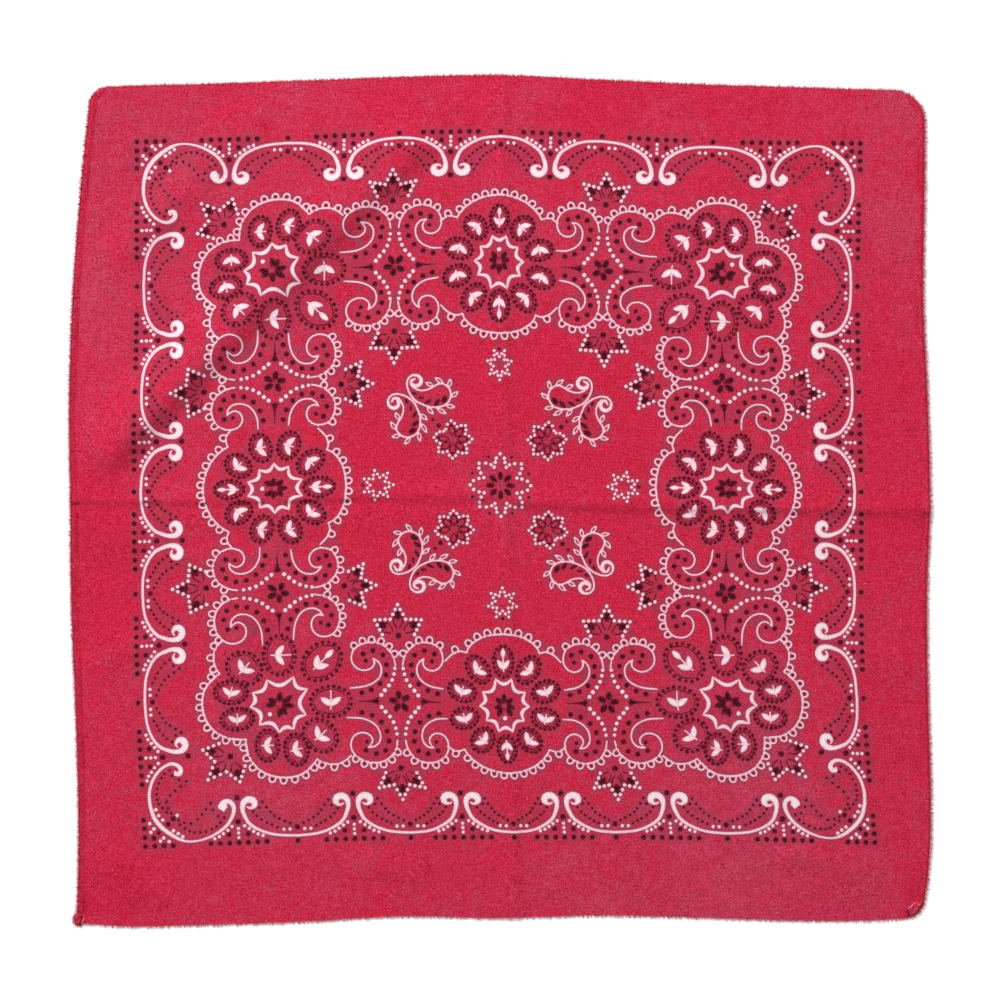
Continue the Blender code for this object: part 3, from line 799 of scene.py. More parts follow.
def wholePrint():
    slant = math.sqrt(0.5)
    art = []
    for sign in (1, -1):
        art += placed(sideMedallion(), 0, sign * 224, (1, 0), (0, sign))
        art += placed(sideMedallion(), sign * 224.5, 0, (0, 1), (sign, 0))
        art += placed(smallStar(0.8 if sign > 0 else 0.95), 0, sign * 121.5, (1, 0), (0, -sign))
        art += placed(smallStar(), sign * 121.0, 0, (0, 1), (-sign, 0))
    art += centreStar()
    quarter = []
    quarter += placed(cluster(), 105.7, 223, (1, 0), (0, 1))
    quarter += placed(cluster(), 225, 107, (0, 1), (1, 0))
    quarter += placed(palmette(22.6, 20), 107.6, 291, (1, 0), (0, 1))
    quarter += placed(palmette(23.5, 16.3), 105.6, 155.5, (1, 0), (0, -1))
    quarter += placed(palmette(24, 15), 294.6, 99.5, (0, 1), (1, 0))
    quarter += placed(palmette(22.3, 20), 158.7, 103, (0, 1), (-1, 0))
    quarter += placed(palmette(24.5, 12.8, 32.0, (7.8, 14.0)), 275.0, 273.5, (slant, -slant), (slant, slant))
    quarter += placed(cornerMedallion(), 226.4, 223.8, (slant, -slant), (slant, slant))
    flower = dottedFlower()
    quarter += placed(flower, 46.5, 46, (slant, -slant), (-slant, -slant))
    # the pair is drawn for the upper left, so it is turned over
    quarter += placed(mirrored(paisleyPair(), -1, 1), 46.5, 46, (1, 0), (0, 1))
    edge = printEdge
    # where the pairs of arches meet and where each arch's middle is, first along the selvedges
    borders = ((False, (50.3, 156.8, 270.3), (0, 101.8, 212.5)),
               (True, (50.3, 155.5, 270.3), (0, 102.9, 212.9)))
    for upright, pairs, middles in borders:
        for k, pair in enumerate(pairs):
            halves = (pair - middles[k], middles[k + 1] - pair if k < 2 else None)
            group = pairGroup(k == 2)
            for hand, half in zip((-1, 1), halves):
                if half:
                    group += archSide(half, hand, 6.6 if upright else 5.2)
            if upright:
                quarter += placed(group, edge, pair, (0, 1), (-1, 0))
            else:
                quarter += placed(group, pair, edge, (1, 0), (0, -1))
        # black dots above and below each arch's middle
        for x in middles:
            for y, r in ((edge, 2.7), (edge - 14, 2.8)):
                quarter += dot("black", y, x, r) if upright else dot("black", x, y, r)
    quarter += placed(cornerGroup(), edge, edge, (-1, 0), (0, -1))
    for hx in (1, -1):
        for hy in (1, -1):
            art += mirrored(quarter, hx, hy)
    return art


# Where the motifs' middles lie on the worn cloth, in print units from the cloth's middle: a motif's middle in
# the even print's upper right quarter, then its places at the upper left, upper right, lower left and lower
# right
quarterPlaces = {
    "cornerMedallion": ((226.4, 223.8), ((-228.0, 230.5), (223.0, 227.5), (-221.0, -204.5), (229.0, -204.0))),
    "upperFlower": ((105.7, 223.0), ((-105.5, 234.5), (102.5, 230.0), (-100.0, -200.5), (108.0, -202.0))),
    "sideFlower": ((225.0, 107.0), ((-225.0, 118.5), (223.0, 117.0), (-221.5, -92.0), (225.5, -92.5))),
    "starFlower": ((46.5, 46.0), ((-47.0, 61.0), (47.0, 59.5), (-45.5, -28.5), (48.0, -29.5))),
    "upperArch": ((212.5, 362.0), ((-212.0, 362.5), (213.0, 358.5), (-202.0, -340.0), (227.5, -338.0))),
    "sideArch": ((362.0, 212.9), ((-363.0, 214.0), (357.5, 214.0), (-362.0, -202.5), (363.5, -198.0))),
    "frameCorner": ((362.0, 362.0), ((-363.0, 358.5), (360.5, 357.0), (-354.5, -346.0), (375.0, -342.0))),
}
# and of the motifs on the two lines through the middle: the even place, then where it lies
axisPlaces = (
    ((0.0, 0.0), (0.5, 15.0)),
    ((0.0, 121.5), (-0.5, 136.0)),
    ((0.0, -121.5), (2.5, -102.5)),
    ((-121.0, 0.0), (-122.0, 15.5)),
    ((121.0, 0.0), (123.5, 13.5)),
    ((0.0, 224.0), (-1.0, 239.0)),
    ((0.0, -224.0), (4.5, -205.5)),
    ((-224.5, 0.0), (-225.0, 12.0)),
    ((224.5, 0.0), (227.0, 12.0)),
    ((0.0, 362.0), (1.0, 369.0)),
    ((0.0, -362.0), (14.5, -336.5)),
    ((-362.0, 0.0), (-366.0, 8.5)),
    ((362.0, 0.0), (361.0, 8.5)),
)
quarters = ((-1, 1), (1, 1), (-1, -1), (1, -1))
printHeight = 0.975
inkReach = 2.2
drawnIn = 0.93


def plateRises(points, centres):
    # how a thin plate rises at points when it is pushed at each of the centres
    apart = ((points[:, None] - centres) ** 2).sum(axis=2)
    return apart * np.log(np.maximum(apart, 1e-12))


def withSlope(points):
    return np.column_stack([np.ones(len(points)), points])


def layPrint():
    # thin plates through the motifs' shifts: the motifs' places in the even print, and the plates' weights
    rows = list(axisPlaces)
    for (x, y), places in quarterPlaces.values():
        rows += [((x * turnX, y * turnY), place) for (turnX, turnY), place in zip(quarters, places)]
    even = np.array([row[0] for row in rows])
    shifts = np.array([row[1] for row in rows]) - even * (1.0, printHeight)
    centres = even / printEdge
    slope = withSlope(centres)
    system = np.block([[plateRises(centres, centres), slope], [slope.T, np.zeros((3, 3))]])
    return centres, np.linalg.solve(system, np.concatenate([shifts, np.zeros((3, 2))]))


printCentres, printWeights = layPrint()


def onCloth(points):
    # from the even print to its place on the cloth, in metres
    points = np.asarray(points, float)
    at = points / printEdge
    shifts = np.column_stack([plateRises(at, printCentres), withSlope(at)]) @ printWeights
    return (points * (1.0, printHeight) + shifts) * printUnit


def settled(strokes):
    # the strokes' points on the cloth: ink, rows of (x, y, half width) in metres
    every = np.array([point for _, points in strokes for point in points])
    placed = np.column_stack([onCloth(every[:, :2]), every[:, 2] * printUnit])
    laid, first = [], 0
    for ink, points in strokes:
        rows = placed[first:first + len(points)]
        if ink == "white" and len(points) > 1:
            rows[:, 2] *= drawnIn
        laid.append((ink, rows))
        first += len(points)
    return laid


def inkDistance(points, strokes, ink, cell=0.004):
    # signed distance in mm from each point to the edge of that ink, up to inkReach
    starts, ends = [], []
    for kind, rows in strokes:
        if kind == ink:
            starts.extend(rows[:-1] if len(rows) > 1 else rows)
            ends.extend(rows[1:] if len(rows) > 1 else rows)
    starts, ends = np.array(starts), np.array(ends)
    margin = np.maximum(starts[:, 2], ends[:, 2])[:, None] + inkReach / 1000
    low = np.floor((np.minimum(starts[:, :2], ends[:, :2]) - margin) / cell).astype(int)
    high = np.floor((np.maximum(starts[:, :2], ends[:, :2]) + margin) / cell).astype(int)
    near = {}
    for i in range(len(starts)):
        for column in range(low[i, 0], high[i, 0] + 1):
            for row in range(low[i, 1], high[i, 1] + 1):
                near.setdefault((column, row), []).append(i)
    distance = np.full(len(points), inkReach)
    cells = np.floor(points / cell).astype(int)
    order = np.lexsort((cells[:, 1], cells[:, 0]))
    breaks = np.flatnonzero(np.any(np.diff(cells[order], axis=0) != 0, axis=1)) + 1
    for group in np.split(order, breaks):
        found = near.get(tuple(cells[group[0]]))
        if found is None:
            continue
        a, b = starts[found], ends[found]
        run = b[:, :2] - a[:, :2]
        length = np.maximum((run ** 2).sum(axis=1), 1e-14)
        offset = points[group][:, None, :] - a[None, :, :2]
        share = np.clip((offset * run).sum(axis=2) / length, 0.0, 1.0)
        gap = np.linalg.norm(offset - share[..., None] * run, axis=2) - mixed(a[:, 2], b[:, 2], share)
        distance[group] = np.minimum(gap.min(axis=1) * 1000, inkReach)
    return distance


def printPoints(strokes):
    # mesh points that carry the print: every stroke's middle, then a margin just outside its edges
    middles, margins = [], []
    for _, rows in strokes:
        middles.extend(rows[:, :2])
        if len(rows) == 1:
            x, y, half = rows[0]
            count = 8 if half > 0.0015 else 7 if half > 0.0011 else 6
            reach = half + cloth["margin"]
            turns = math.tau * (np.arange(count) + 0.5) / count
            margins.extend(np.column_stack([x + reach * np.cos(turns), y + reach * np.sin(turns)]))
            continue
        run = np.gradient(rows[:, :2], axis=0)
        run /= np.maximum(np.linalg.norm(run, axis=1), 1e-9)[:, None]
        aside = np.column_stack([-run[:, 1], run[:, 0]]) * (rows[:, 2] + cloth["margin"])[:, None]
        margins.extend(rows[:, :2] + aside)
        margins.extend(rows[:, :2] - aside)
        for end, turn in ((0, -1), (-1, 1)):
            margins.append(rows[end, :2] + run[end] * turn * (rows[end, 2] + cloth["margin"]))
    return middles, margins


def thinned(groups):
    # drops a point where an earlier one is too near; each group has its own clearance
    kept, taken = [], {}
    size = 0.0012
    for points, clear in groups:
        reach = int(clear // size) + 1
        around = [(i, j) for i in range(-reach, reach + 1) for j in range(-reach, reach + 1)]
        for x, y in points:
            column, row = int(x // size), int(y // size)
            if any((x - px) ** 2 + (y - py) ** 2 < clear * clear
                   for i, j in around for px, py in taken.get((column + i, row + j), ())):
                continue
            taken.setdefault((column, row), []).append((x, y))
            kept.append((x, y))
    return kept


def isWithin(outline, points, inset):
    # True for points inside a closed outline and not nearer to it than inset
    a = np.asarray(outline)
    b = np.roll(a, -1, axis=0)
    inside = np.zeros(len(points), bool)
    nearest = np.full(len(points), np.inf)
    for (ax, ay), (bx, by) in zip(a, b):
        x, y = points[:, 0], points[:, 1]
        crosses = (ay > y) != (by > y)
        if by != ay:
            inside ^= crosses & (x < ax + (y - ay) / (by - ay) * (bx - ax))
        run = max((bx - ax) ** 2 + (by - ay) ** 2, 1e-14)
        share = np.clip(((x - ax) * (bx - ax) + (y - ay) * (by - ay)) / run, 0.0, 1.0)
        nearest = np.minimum(nearest, np.hypot(x - ax - share * (bx - ax), y - ay - share * (by - ay)))
    return inside & (nearest > inset)


# over how many degrees past a hem's end the cloth comes out from under it, and how many of them lie before it
hemFade = 12.0
hemLead = 8.0


def clothOutline(inset, step):
    # once round anticlockwise, inset from the sides under the hems and not from the selvedges
    outline = []
    for side, level in (("left", "lower"), ("right", "lower"), ("right", "upper"), ("left", "upper")):
        centreX, centreY, radius, outX, outY = cornerArc(side, level)
        degrees = np.linspace(0.0, 90.0, max(int(radius * math.pi / 2 / step), 3) + 1)
        if (side == "left") != (level == "lower"):
            degrees = degrees[::-1]
        for angle in degrees:
            share = softStep((angle - hemRound[side, level] + hemLead) / hemFade)
            outline.append(onArc(side, level, angle, inset * (1.0 - share)))
        if level == "lower" and side == "left":
            low, high = cornerArc("left", "lower")[0], cornerArc("right", "lower")[0]
            xs = np.linspace(low, high, int((high - low) / step))[1:-1]
            outline += list(zip(xs, selvedgeY("lower", xs)))
        elif level == "lower":
            low, high = cornerArc("right", "lower")[1], cornerArc("right", "upper")[1]
            ys = np.linspace(low, high, int((high - low) / step))[1:-1]
            outline += list(zip(sideX("right", ys) - inset, ys))
        elif side == "right":
            low, high = cornerArc("left", "upper")[0], cornerArc("right", "upper")[0]
            xs = np.linspace(high, low, int((high - low) / step))[1:-1]
            outline += list(zip(xs, selvedgeY("upper", xs)))
        else:
            low, high = cornerArc("left", "lower")[1], cornerArc("left", "upper")[1]
            ys = np.linspace(high, low, int((high - low) / step))[1:-1]
            outline += list(zip(sideX("left", ys) + inset, ys))
    return outline


# rows of points beside the pressed folds: how far along they reach, their spacing and how far aside they lie
foldReach = 0.250
foldSpacing = 0.0026
foldAsides = (0.0013, 0.0026, 0.0039, 0.0052, 0.0080, 0.0120)
# squares of closer points at the two lower corners: their middles, half width and spacing
cornerMiddles = ((-0.2555, -0.2500), (0.2520, -0.2530))
cornerReach = 0.007
cornerSpacing = 0.0009


def reliefPoints():
    # rows beside both pressed folds
    points = []
    stations = np.arange(-foldReach, foldReach + 0.0001, foldSpacing)
    for aside in (0.0, *foldAsides, *(-step for step in foldAsides)):
        points += list(zip(outlineAt("foldUp", stations) + aside, stations))
        points += list(zip(stations, outlineAt("foldAcross", stations) + aside))
    return points


def cornerPoints():
    # closer points under the two lower corners' turned cloth, where its shadowed dye changes quickly
    points = []
    line = np.arange(-cornerReach, cornerReach + 0.0001, cornerSpacing)
    for middleX, middleY in cornerMiddles:
        xs, ys = np.meshgrid(line, line)
        points += list(zip(middleX + xs.ravel(), middleY + ys.ravel()))
    return points


# hemCover is how far the hems lie over its edge and margin how far outside the ink's edges the mesh has
# points; the grids are of open ground, of the underside and of the underside's folds
cloth = {"name": "cloth", "thickness": 0.0005, "hemCover": 0.0024, "edgeStep": 0.0028, "margin": 0.00042,
         "grid": 0.0042, "underGrid": 0.012, "foldGrid": 0.0042, "folded": 0.0006, "beside": 0.004,
         "reach": 0.262, "sharp": 50, "mapWidth": 0.5400, "sunk": 0.4, "fade": (0.30, 0.70)}
# how near to the outline each kind of point may lie
edgeClear = {"ground": 0.0012, "corners": 0.0006, "under": 0.003}
# the map of the printed side fills most of the square, and the plain underside's is a strip beside it
mapStart = 0.002
mapSize = 0.938
stripStart = 0.945
stripWidth = 0.05
# how far apart the mesh's points stay: in the middles of strokes, beside them, at the turned corners and on
# open ground
clearance = {"middles": 0.00010, "margins": 0.00040, "corners": 0.0007, "ground": 0.0020, "folds": 0.0030,
             "under": 0.0050}

# where the dye is duller (above 0) or deeper (below 0): (x, y, radius) in mm and how much
dullSpots = (
    (-246, 232, 60, 0.25), (-246, 120, 45, 0.30), (-120, 240, 50, 0.10), (60, 242, 26, -0.25),
    (150, 238, 34, -0.15), (-60, 236, 40, -0.15), (250, 170, 30, 0.45), (250, 60, 40, -0.20),
    (250, -10, 30, -0.35), (240, -120, 45, -0.10), (-250, -10, 26, -0.75), (-246, -60, 34, -0.45),
    (-250, -150, 45, -0.05), (-240, -235, 34, -0.30), (-60, -236, 60, 0.05), (60, -240, 50, 0.25),
    (150, -238, 60, 0.35), (225, -245, 30, 0.20), (-35, 75, 42, -0.35), (40, 75, 34, -0.55),
    (-70, -30, 46, -0.40), (60, -50, 50, -0.35), (-75, 30, 40, -0.25), (70, 20, 40, -0.25),
    (0, -100, 40, -0.10), (256, -240, 7, -0.30), (-256.5, -246, 7, -0.50), (252, 243, 34, 0.40),
    (-185, 175, 40, 0.15), (150, -160, 60, 0.35), (-150, -170, 60, 0.30), (150, 130, 60, 0.05),
    (-140, 100, 60, 0.05),
)
# darker patches and painted shade: (x, y, radius) in mm and how much
shadeAndDarkSpots = (
    (-262, 262, 60, 0.09), (-255, 190, 50, 0.05), (-190, 255, 60, 0.05), (-165, 150, 40, 0.05),
    # from the third spot here on: painted shadow beside the dog-ear's free edge and just above the hem end,
    # then darker patches by both lower corners
    (-255, -20, 40, 0.05), (-240, -235, 50, 0.05), (250.8, -251.6, 2.2, 0.60), (251.6, -254.2, 2.2, 0.60),
    (-257.2, -250.4, 3.0, 0.50), (252.8, -256.2, 2.2, 0.50), (255, -240, 8, 0.13), (-256.5, -246, 6, 0.15),
    # painted shade along the diagonal roll's falling side
    (-78, 179, 22, 0.06), (-94, 162, 22, 0.07), (-109, 146, 22, 0.08), (-123, 126, 22, 0.07),
    (-136, 108, 22, 0.06),
)


def spotted(points, spots, start):
    # the sum of soft round spots at each point
    total = np.full(len(points), start)
    for x, y, radius, amount in spots:
        apart = (points[:, 0] - x / 1000) ** 2 + (points[:, 1] - y / 1000) ** 2
        total += amount * np.exp(-apart / (2 * (radius / 1600) ** 2))
    return total


def squareGrid(step):
    line = np.arange(-0.256, 0.2561, step)
    return np.column_stack([axis.ravel() for axis in np.meshgrid(line, line)])


def buildCloth(material):
    # A closed shell. Two of its attributes hold how far each point is from the nearest edge of white and of
    # black ink, in mm and less than 0 inside the ink. The material reads them, so the ink's edges stay crisp
    # between the points.
    strokes = settled(wholePrint())
    outline = clothOutline(cloth["hemCover"], cloth["edgeStep"])
    middles, margins = printPoints(strokes)
    lines = np.arange(-1.0, 1.0, cloth["grid"] / cloth["reach"])
    across, up = np.meshgrid(lines, lines)
    ground = np.concatenate([np.array(reliefPoints()), np.column_stack(place(across.ravel(), up.ravel()))])
    ground = ground[isWithin(outline, ground, edgeClear["ground"])]
    corners = np.array(cornerPoints())
    corners = corners[isWithin(outline, corners, edgeClear["corners"])]
    groups = {"middles": middles, "margins": margins, "corners": corners, "ground": ground}
    kept = thinned([(points, clearance[name]) for name, points in groups.items()])
    ring = [list(range(len(outline)))]
    flat = delaunay_2d_cdt([Vector(point) for point in outline + kept], [], ring, 1, 1e-7)
    # the underside has few points, and more where the cloth is folded
    wide, close = (squareGrid(cloth[name]) for name in ("underGrid", "foldGrid"))
    beside = cloth["beside"]
    around = np.max([liftAt(close[:, 0] + x, close[:, 1] + y)
                     for x, y in ((0, 0), (beside, 0), (-beside, 0), (0, beside), (0, -beside))], axis=0)
    inner = np.array(thinned([(close[around > cloth["folded"]], clearance["folds"]),
                              (wide, clearance["under"])]))
    inner = inner[isWithin(outline, inner, edgeClear["under"])]
    below = delaunay_2d_cdt([Vector(point) for point in outline + list(inner)], [], ring, 1, 1e-7)

    shape = bmesh.new()
    layers = {name: shape.verts.layers.float.new(name) for name in ("white", "black", "fade", "dark", "edge")}
    beneath = shape.faces.layers.int.new("beneath")
    sides = []
    for mesh, above in ((flat, True), (below, False)):
        points = np.array([tuple(point) for point in mesh[0]])
        height = liftAt(points[:, 0], points[:, 1])
        height = height + (clothWall * cloth["sunk"] + cloth["thickness"] if above else 0.0)
        # dark holds painted shade as well as darker patches
        values = {"fade": spotted(points, dullSpots, cloth["fade"][0 if above else 1]),
                  "dark": spotted(points, shadeAndDarkSpots, 0.0),
                  "edge": np.where(np.arange(len(points)) < len(outline), 0.0, 2.0)}
        for ink in ("white", "black"):
            values[ink] = inkDistance(points, strokes, ink) if above else np.full(len(points), inkReach)
        verts = []
        for i, (x, y) in enumerate(points):
            vert = shape.verts.new((x, y, height[i]))
            for name, layer in layers.items():
                vert[layer] = values[name][i]
            verts.append(vert)
        sides.append(verts)
        for corner in mesh[2]:
            face = shape.faces.new([verts[i] for i in (corner if above else reversed(corner))])
            face[beneath] = 0 if above else 1
    upper, lower = sides
    for i in range(len(outline)):
        j = (i + 1) % len(outline)
        shape.faces.new((upper[j], upper[i], lower[i], lower[j]))
    bmesh.ops.triangulate(shape, faces=[face for face in shape.faces if len(face.verts) > 3])

    layer = shape.loops.layers.uv.new("OFBake")
    for face in shape.faces:
        for loop in face.loops:
            x, y = loop.vert.co.x / cloth["mapWidth"] + 0.5, loop.vert.co.y / cloth["mapWidth"] + 0.5
            printed = (mapStart + mapSize * x, mapStart + mapSize * y)
            loop[layer].uv = (stripStart + stripWidth * x, y) if face[beneath] else printed
    mesh = bpy.data.meshes.new(cloth["name"])
    shape.faces.layers.int.remove(beneath)
    shape.to_mesh(mesh)
    shape.free()
    mesh.shade_smooth()
    mesh.set_sharp_from_angle(angle=math.radians(cloth["sharp"]))
    mesh.materials.append(material)
    piece = bpy.data.objects.new(cloth["name"], mesh)
    scene.collection.objects.link(piece)
    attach(piece, "root")
    print(f"cloth: {len(mesh.vertices)} points, {len(mesh.polygons)} faces, from {len(strokes)} strokes")
    return piece


def linear(code):
    # a "#RRGGBB" colour as linear values
    values = [int(code[i:i + 2], 16) / 255 for i in (1, 3, 5)]
    return tuple(v / 12.92 if v <= 0.04045 else ((v + 0.055) / 1.055) ** 2.4 for v in values) + (1.0,)


def addNode(tree, kind, links, output=0, **settings):
    # one node: its settings, then sockets or plain values into its inputs; gives back one of its outputs
    node = tree.nodes.new("ShaderNode" + kind)
    for key, value in settings.items():
        setattr(node, key, value)
    for key, value in links.items():
        if isinstance(value, bpy.types.NodeSocket):
            tree.links.new(value, node.inputs[key])
        else:
            node.inputs[key].default_value = value
    return node.outputs[output]


# what every material here shares: a faint reflection, and a soft sheen in the dye's light tint
matt = {"Specular IOR Level": 0.12, "Sheen Roughness": 0.5, "Sheen Tint": linear("#FFD8DE")}


def startMaterial(name, roughness, sheen):
    material = bpy.data.materials.new(name)
    material.use_nodes = True
    shader = material.node_tree.nodes["Principled BSDF"]
    for key, value in {"Roughness": roughness, "Sheen Weight": sheen, **matt}.items():
        shader.inputs[key].default_value = value
    return material, material.node_tree, shader


# The cotton: noises as mm across, detail and stretch; colours from a thread's dark side to its light side
millimetre = 0.001
weaveNoises = {"warp": (0.6, 1.0, (1.0, 0.14, 1.0)), "weft": (0.6, 1.0, (0.14, 1.0, 1.0)),
               "speckle": (0.95, 2.0, (1.0, 1.0, 1.0)), "fine": (0.55, 1.0, (1.0, 1.0, 1.0))}
weaveMix = {"threads": 0.45, "fine": 0.6, "speckle": 1.5, "range": (1.13, 1.87)}
# the dye's noises as mm across, detail and strength; slubs show at the top of their noise's range
dyeNoises = {"clouds": (30.0, 3.0, 0.8), "patches": (6.0, 2.0, 0.9), "slubs": (1.2, 1.0, 0.42)}
slubRange = (0.68, 0.80)
cottonColours = {
    "deep": ("#AC0019", "#EE345C"),
    "dull": ("#A1142E", "#E45477"),
    "slub": "#F49AB0",
    "shadow": "#3A0010",
    "rim": "#80384E",
}
inkColours = {
    "blackHalo": "#984058",
    "whiteHalo": "#86445C",
    "thinBlack": ("#38000E", "#8A1430"),
    "fullBlack": ("#16060C", "#5A1C2C"),
    "thinWhite": ("#FFB4C6", "#FFDCE6"),
    "fullWhite": ("#FFD2DC", "#FFF4F6"),
}


def wovenGrain(tree, where):
    # how light each crossing of threads is, from 0 to 1, and the weave's relief: threads run both ways,
    # unevenly thick
    parts = {}
    for name, (across, detail, stretch) in weaveNoises.items():
        along = addNode(tree, "VectorMath", {0: where, 1: stretch}, operation="MULTIPLY")
        parts[name] = addNode(tree, "TexNoise", {"Vector": along, "Scale": 1 / (across * millimetre),
                                                 "Detail": detail})
    threads = addNode(tree, "Math", {0: parts["warp"], 1: parts["weft"]}, operation="ADD")
    fuzz = addNode(tree, "Math", {0: parts["fine"], 1: weaveMix["fine"]}, operation="MULTIPLY")
    lines = addNode(tree, "Math", {0: threads, 1: weaveMix["threads"], 2: fuzz}, operation="MULTIPLY_ADD")
    mix = addNode(tree, "Math", {0: parts["speckle"], 1: weaveMix["speckle"], 2: lines},
                  operation="MULTIPLY_ADD")
    low, high = weaveMix["range"]
    grain = addNode(tree, "MapRange", {0: mix, 1: low, 2: high}, interpolation_type="LINEAR")
    relief = addNode(tree, "Math", {0: threads, 1: 0.5, 2: parts["fine"]}, operation="MULTIPLY_ADD")
    return grain, relief


def redGround(tree, where, grain, fade):
    # red dye, deepest where the cloth was folded away and duller where it was handled; pale flecks are slubs
    parts = {}
    for name, (across, detail, _) in dyeNoises.items():
        parts[name] = addNode(tree, "TexNoise", {"Vector": where, "Scale": 1 / (across * millimetre),
                                                 "Detail": detail})
    uneven = []
    for name in ("clouds", "patches"):
        amount = dyeNoises[name][2]
        uneven.append(addNode(tree, "Math", {0: parts[name], 1: amount, 2: -amount / 2},
                              operation="MULTIPLY_ADD"))
    uneven = addNode(tree, "Math", {0: uneven[0], 1: uneven[1]}, operation="ADD")
    worn = addNode(tree, "Math", {0: fade, 1: uneven}, operation="ADD")
    tone = addNode(tree, "MapRange", {0: worn, 1: 0.0, 2: 1.0}, interpolation_type="SMOOTHSTEP")
    reds = []
    for name in ("deep", "dull"):
        low, high = (linear(code) for code in cottonColours[name])
        reds.append(addNode(tree, "Mix", {0: grain, 6: low, 7: high}, 2, data_type="RGBA"))
    red = addNode(tree, "Mix", {0: tone, 6: reds[0], 7: reds[1]}, 2, data_type="RGBA")
    low, high = slubRange
    slubs = addNode(tree, "MapRange", {0: parts["slubs"], 1: low, 2: high}, interpolation_type="SMOOTHSTEP")
    flecks = addNode(tree, "Math", {0: slubs, 1: dyeNoises["slubs"][2]}, operation="MULTIPLY")
    return addNode(tree, "Mix", {0: flecks, 6: red, 7: linear(cottonColours["slub"])}, 2, data_type="RGBA")


def weaveBump(tree, shader, where, relief, strength):
    # the threads' fine relief on the cloth's slack
    waves = addNode(tree, "TexNoise", {"Vector": where, "Scale": 1 / (14.0 * millimetre), "Detail": 3.0})
    fine = addNode(tree, "Bump", {"Strength": strength, "Distance": 0.0003, "Height": relief})
    slack = addNode(tree, "Bump", {"Strength": 0.35, "Distance": 0.0016, "Height": waves, "Normal": fine})
    tree.links.new(slack, shader.inputs["Normal"])


def darkRim(tree, where, colour):
    # a greyed purple along the very edge, where the edge attribute is low, ragged by a noise
    edge = addNode(tree, "Attribute", {}, "Fac", attribute_name="edge")
    rough = addNode(tree, "TexNoise", {"Vector": where, "Scale": 1 / (1.1 * millimetre), "Detail": 2.0})
    ragged = addNode(tree, "Math", {0: rough, 1: 0.9, 2: -0.45}, operation="MULTIPLY_ADD")
    near = addNode(tree, "Math", {0: edge, 1: ragged}, operation="ADD")
    share = addNode(tree, "MapRange", {0: near, 1: 0.75, 2: 0.0, 3: 0.0, 4: 0.15},
                    interpolation_type="SMOOTHSTEP")
    return addNode(tree, "Mix", {0: share, 6: colour, 7: linear(cottonColours["rim"])}, 2, data_type="RGBA")


def inkOver(tree, grain, colour, distance, ink):
    # one ink on the cloth: thin at its edges, where the red shows through, and full in the middle of a stroke
    body = []
    for name, low, high in ink["grain"]:
        dark, light = (linear(code) for code in inkColours[name])
        share = grain
        if low is not None:
            share = addNode(tree, "MapRange", {0: grain, 1: low, 2: high}, interpolation_type="SMOOTHSTEP")
        body.append(addNode(tree, "Mix", {0: share, 6: dark, 7: light}, 2, data_type="RGBA"))
    depth, edge = ink["depth"], ink["edge"]
    share = addNode(tree, "MapRange", {0: distance, 1: depth[0], 2: depth[1]}, interpolation_type="SMOOTHSTEP")
    full = addNode(tree, "Mix", {0: share, 6: body[0], 7: body[1]}, 2, data_type="RGBA")
    share = addNode(tree, "MapRange", {0: distance, 1: edge[0], 2: edge[1]}, interpolation_type="SMOOTHSTEP")
    return addNode(tree, "Mix", {0: share, 6: colour, 7: full}, 2, data_type="RGBA")


# both inks, in mm from their edges: how far the halo reaches and how strong it is, where the ink turns from
# thin to full, where its edge lies, and how much of the grain each layer takes
inks = {
    "black": {"halo": (2.1, 0.0, 0.44), "depth": (-0.55, -1.40), "edge": (0.30, -0.32),
              "grain": (("thinBlack", 0.10, 0.85), ("fullBlack", 0.20, 1.0))},
    "white": {"halo": (1.5, 0.1, 0.55), "depth": (-0.40, -1.45), "edge": (0.20, -0.32),
              "grain": (("thinWhite", None, None), ("fullWhite", 0.0, 0.70))},
}


def printedCotton():
    # Plain-weave cotton, dyed red and printed with white and black ink: a matt face with uneven threads. The
    # ink edges come from the piece's distance attributes, wander a little along the threads and bleed outwards.
    material, tree, shader = startMaterial("printed_cotton_plain_weave", 0.9, 0.04)
    where = addNode(tree, "TexCoord", {}, "Object")
    grain, relief = wovenGrain(tree, where)
    fade = addNode(tree, "Attribute", {}, "Fac", attribute_name="fade")
    dark = addNode(tree, "Attribute", {}, "Fac", attribute_name="dark")
    colour = redGround(tree, where, grain, fade)
    # painted shade and darker patches, from the dark attribute
    colour = addNode(tree, "Mix", {0: dark, 6: colour, 7: linear(cottonColours["shadow"])}, 2, data_type="RGBA")
    ragged = addNode(tree, "TexNoise", {"Vector": where, "Scale": 1 / (0.8 * millimetre), "Detail": 2.0})
    wander = addNode(tree, "Math", {0: ragged, 1: 0.50, 2: -0.25}, operation="MULTIPLY_ADD")
    distances = {}
    for name in inks:
        drawn = addNode(tree, "Attribute", {}, "Fac", attribute_name=name)
        distances[name] = addNode(tree, "Math", {0: drawn, 1: wander}, operation="ADD")
    # both inks stain the ground beside them a dull purple
    for name, ink in inks.items():
        far, near, strength = ink["halo"]
        halo = addNode(tree, "MapRange", {0: distances[name], 1: far, 2: near}, interpolation_type="SMOOTHSTEP")
        share = addNode(tree, "Math", {0: halo, 1: strength}, operation="MULTIPLY")
        stain = linear(inkColours[name + "Halo"])
        colour = addNode(tree, "Mix", {0: share, 6: colour, 7: stain}, 2, data_type="RGBA")
    for name, ink in inks.items():
        colour = inkOver(tree, grain, colour, distances[name], ink)
    tree.links.new(darkRim(tree, where, colour), shader.inputs["Base Color"])
    weaveBump(tree, shader, where, relief, 0.5)
    return material


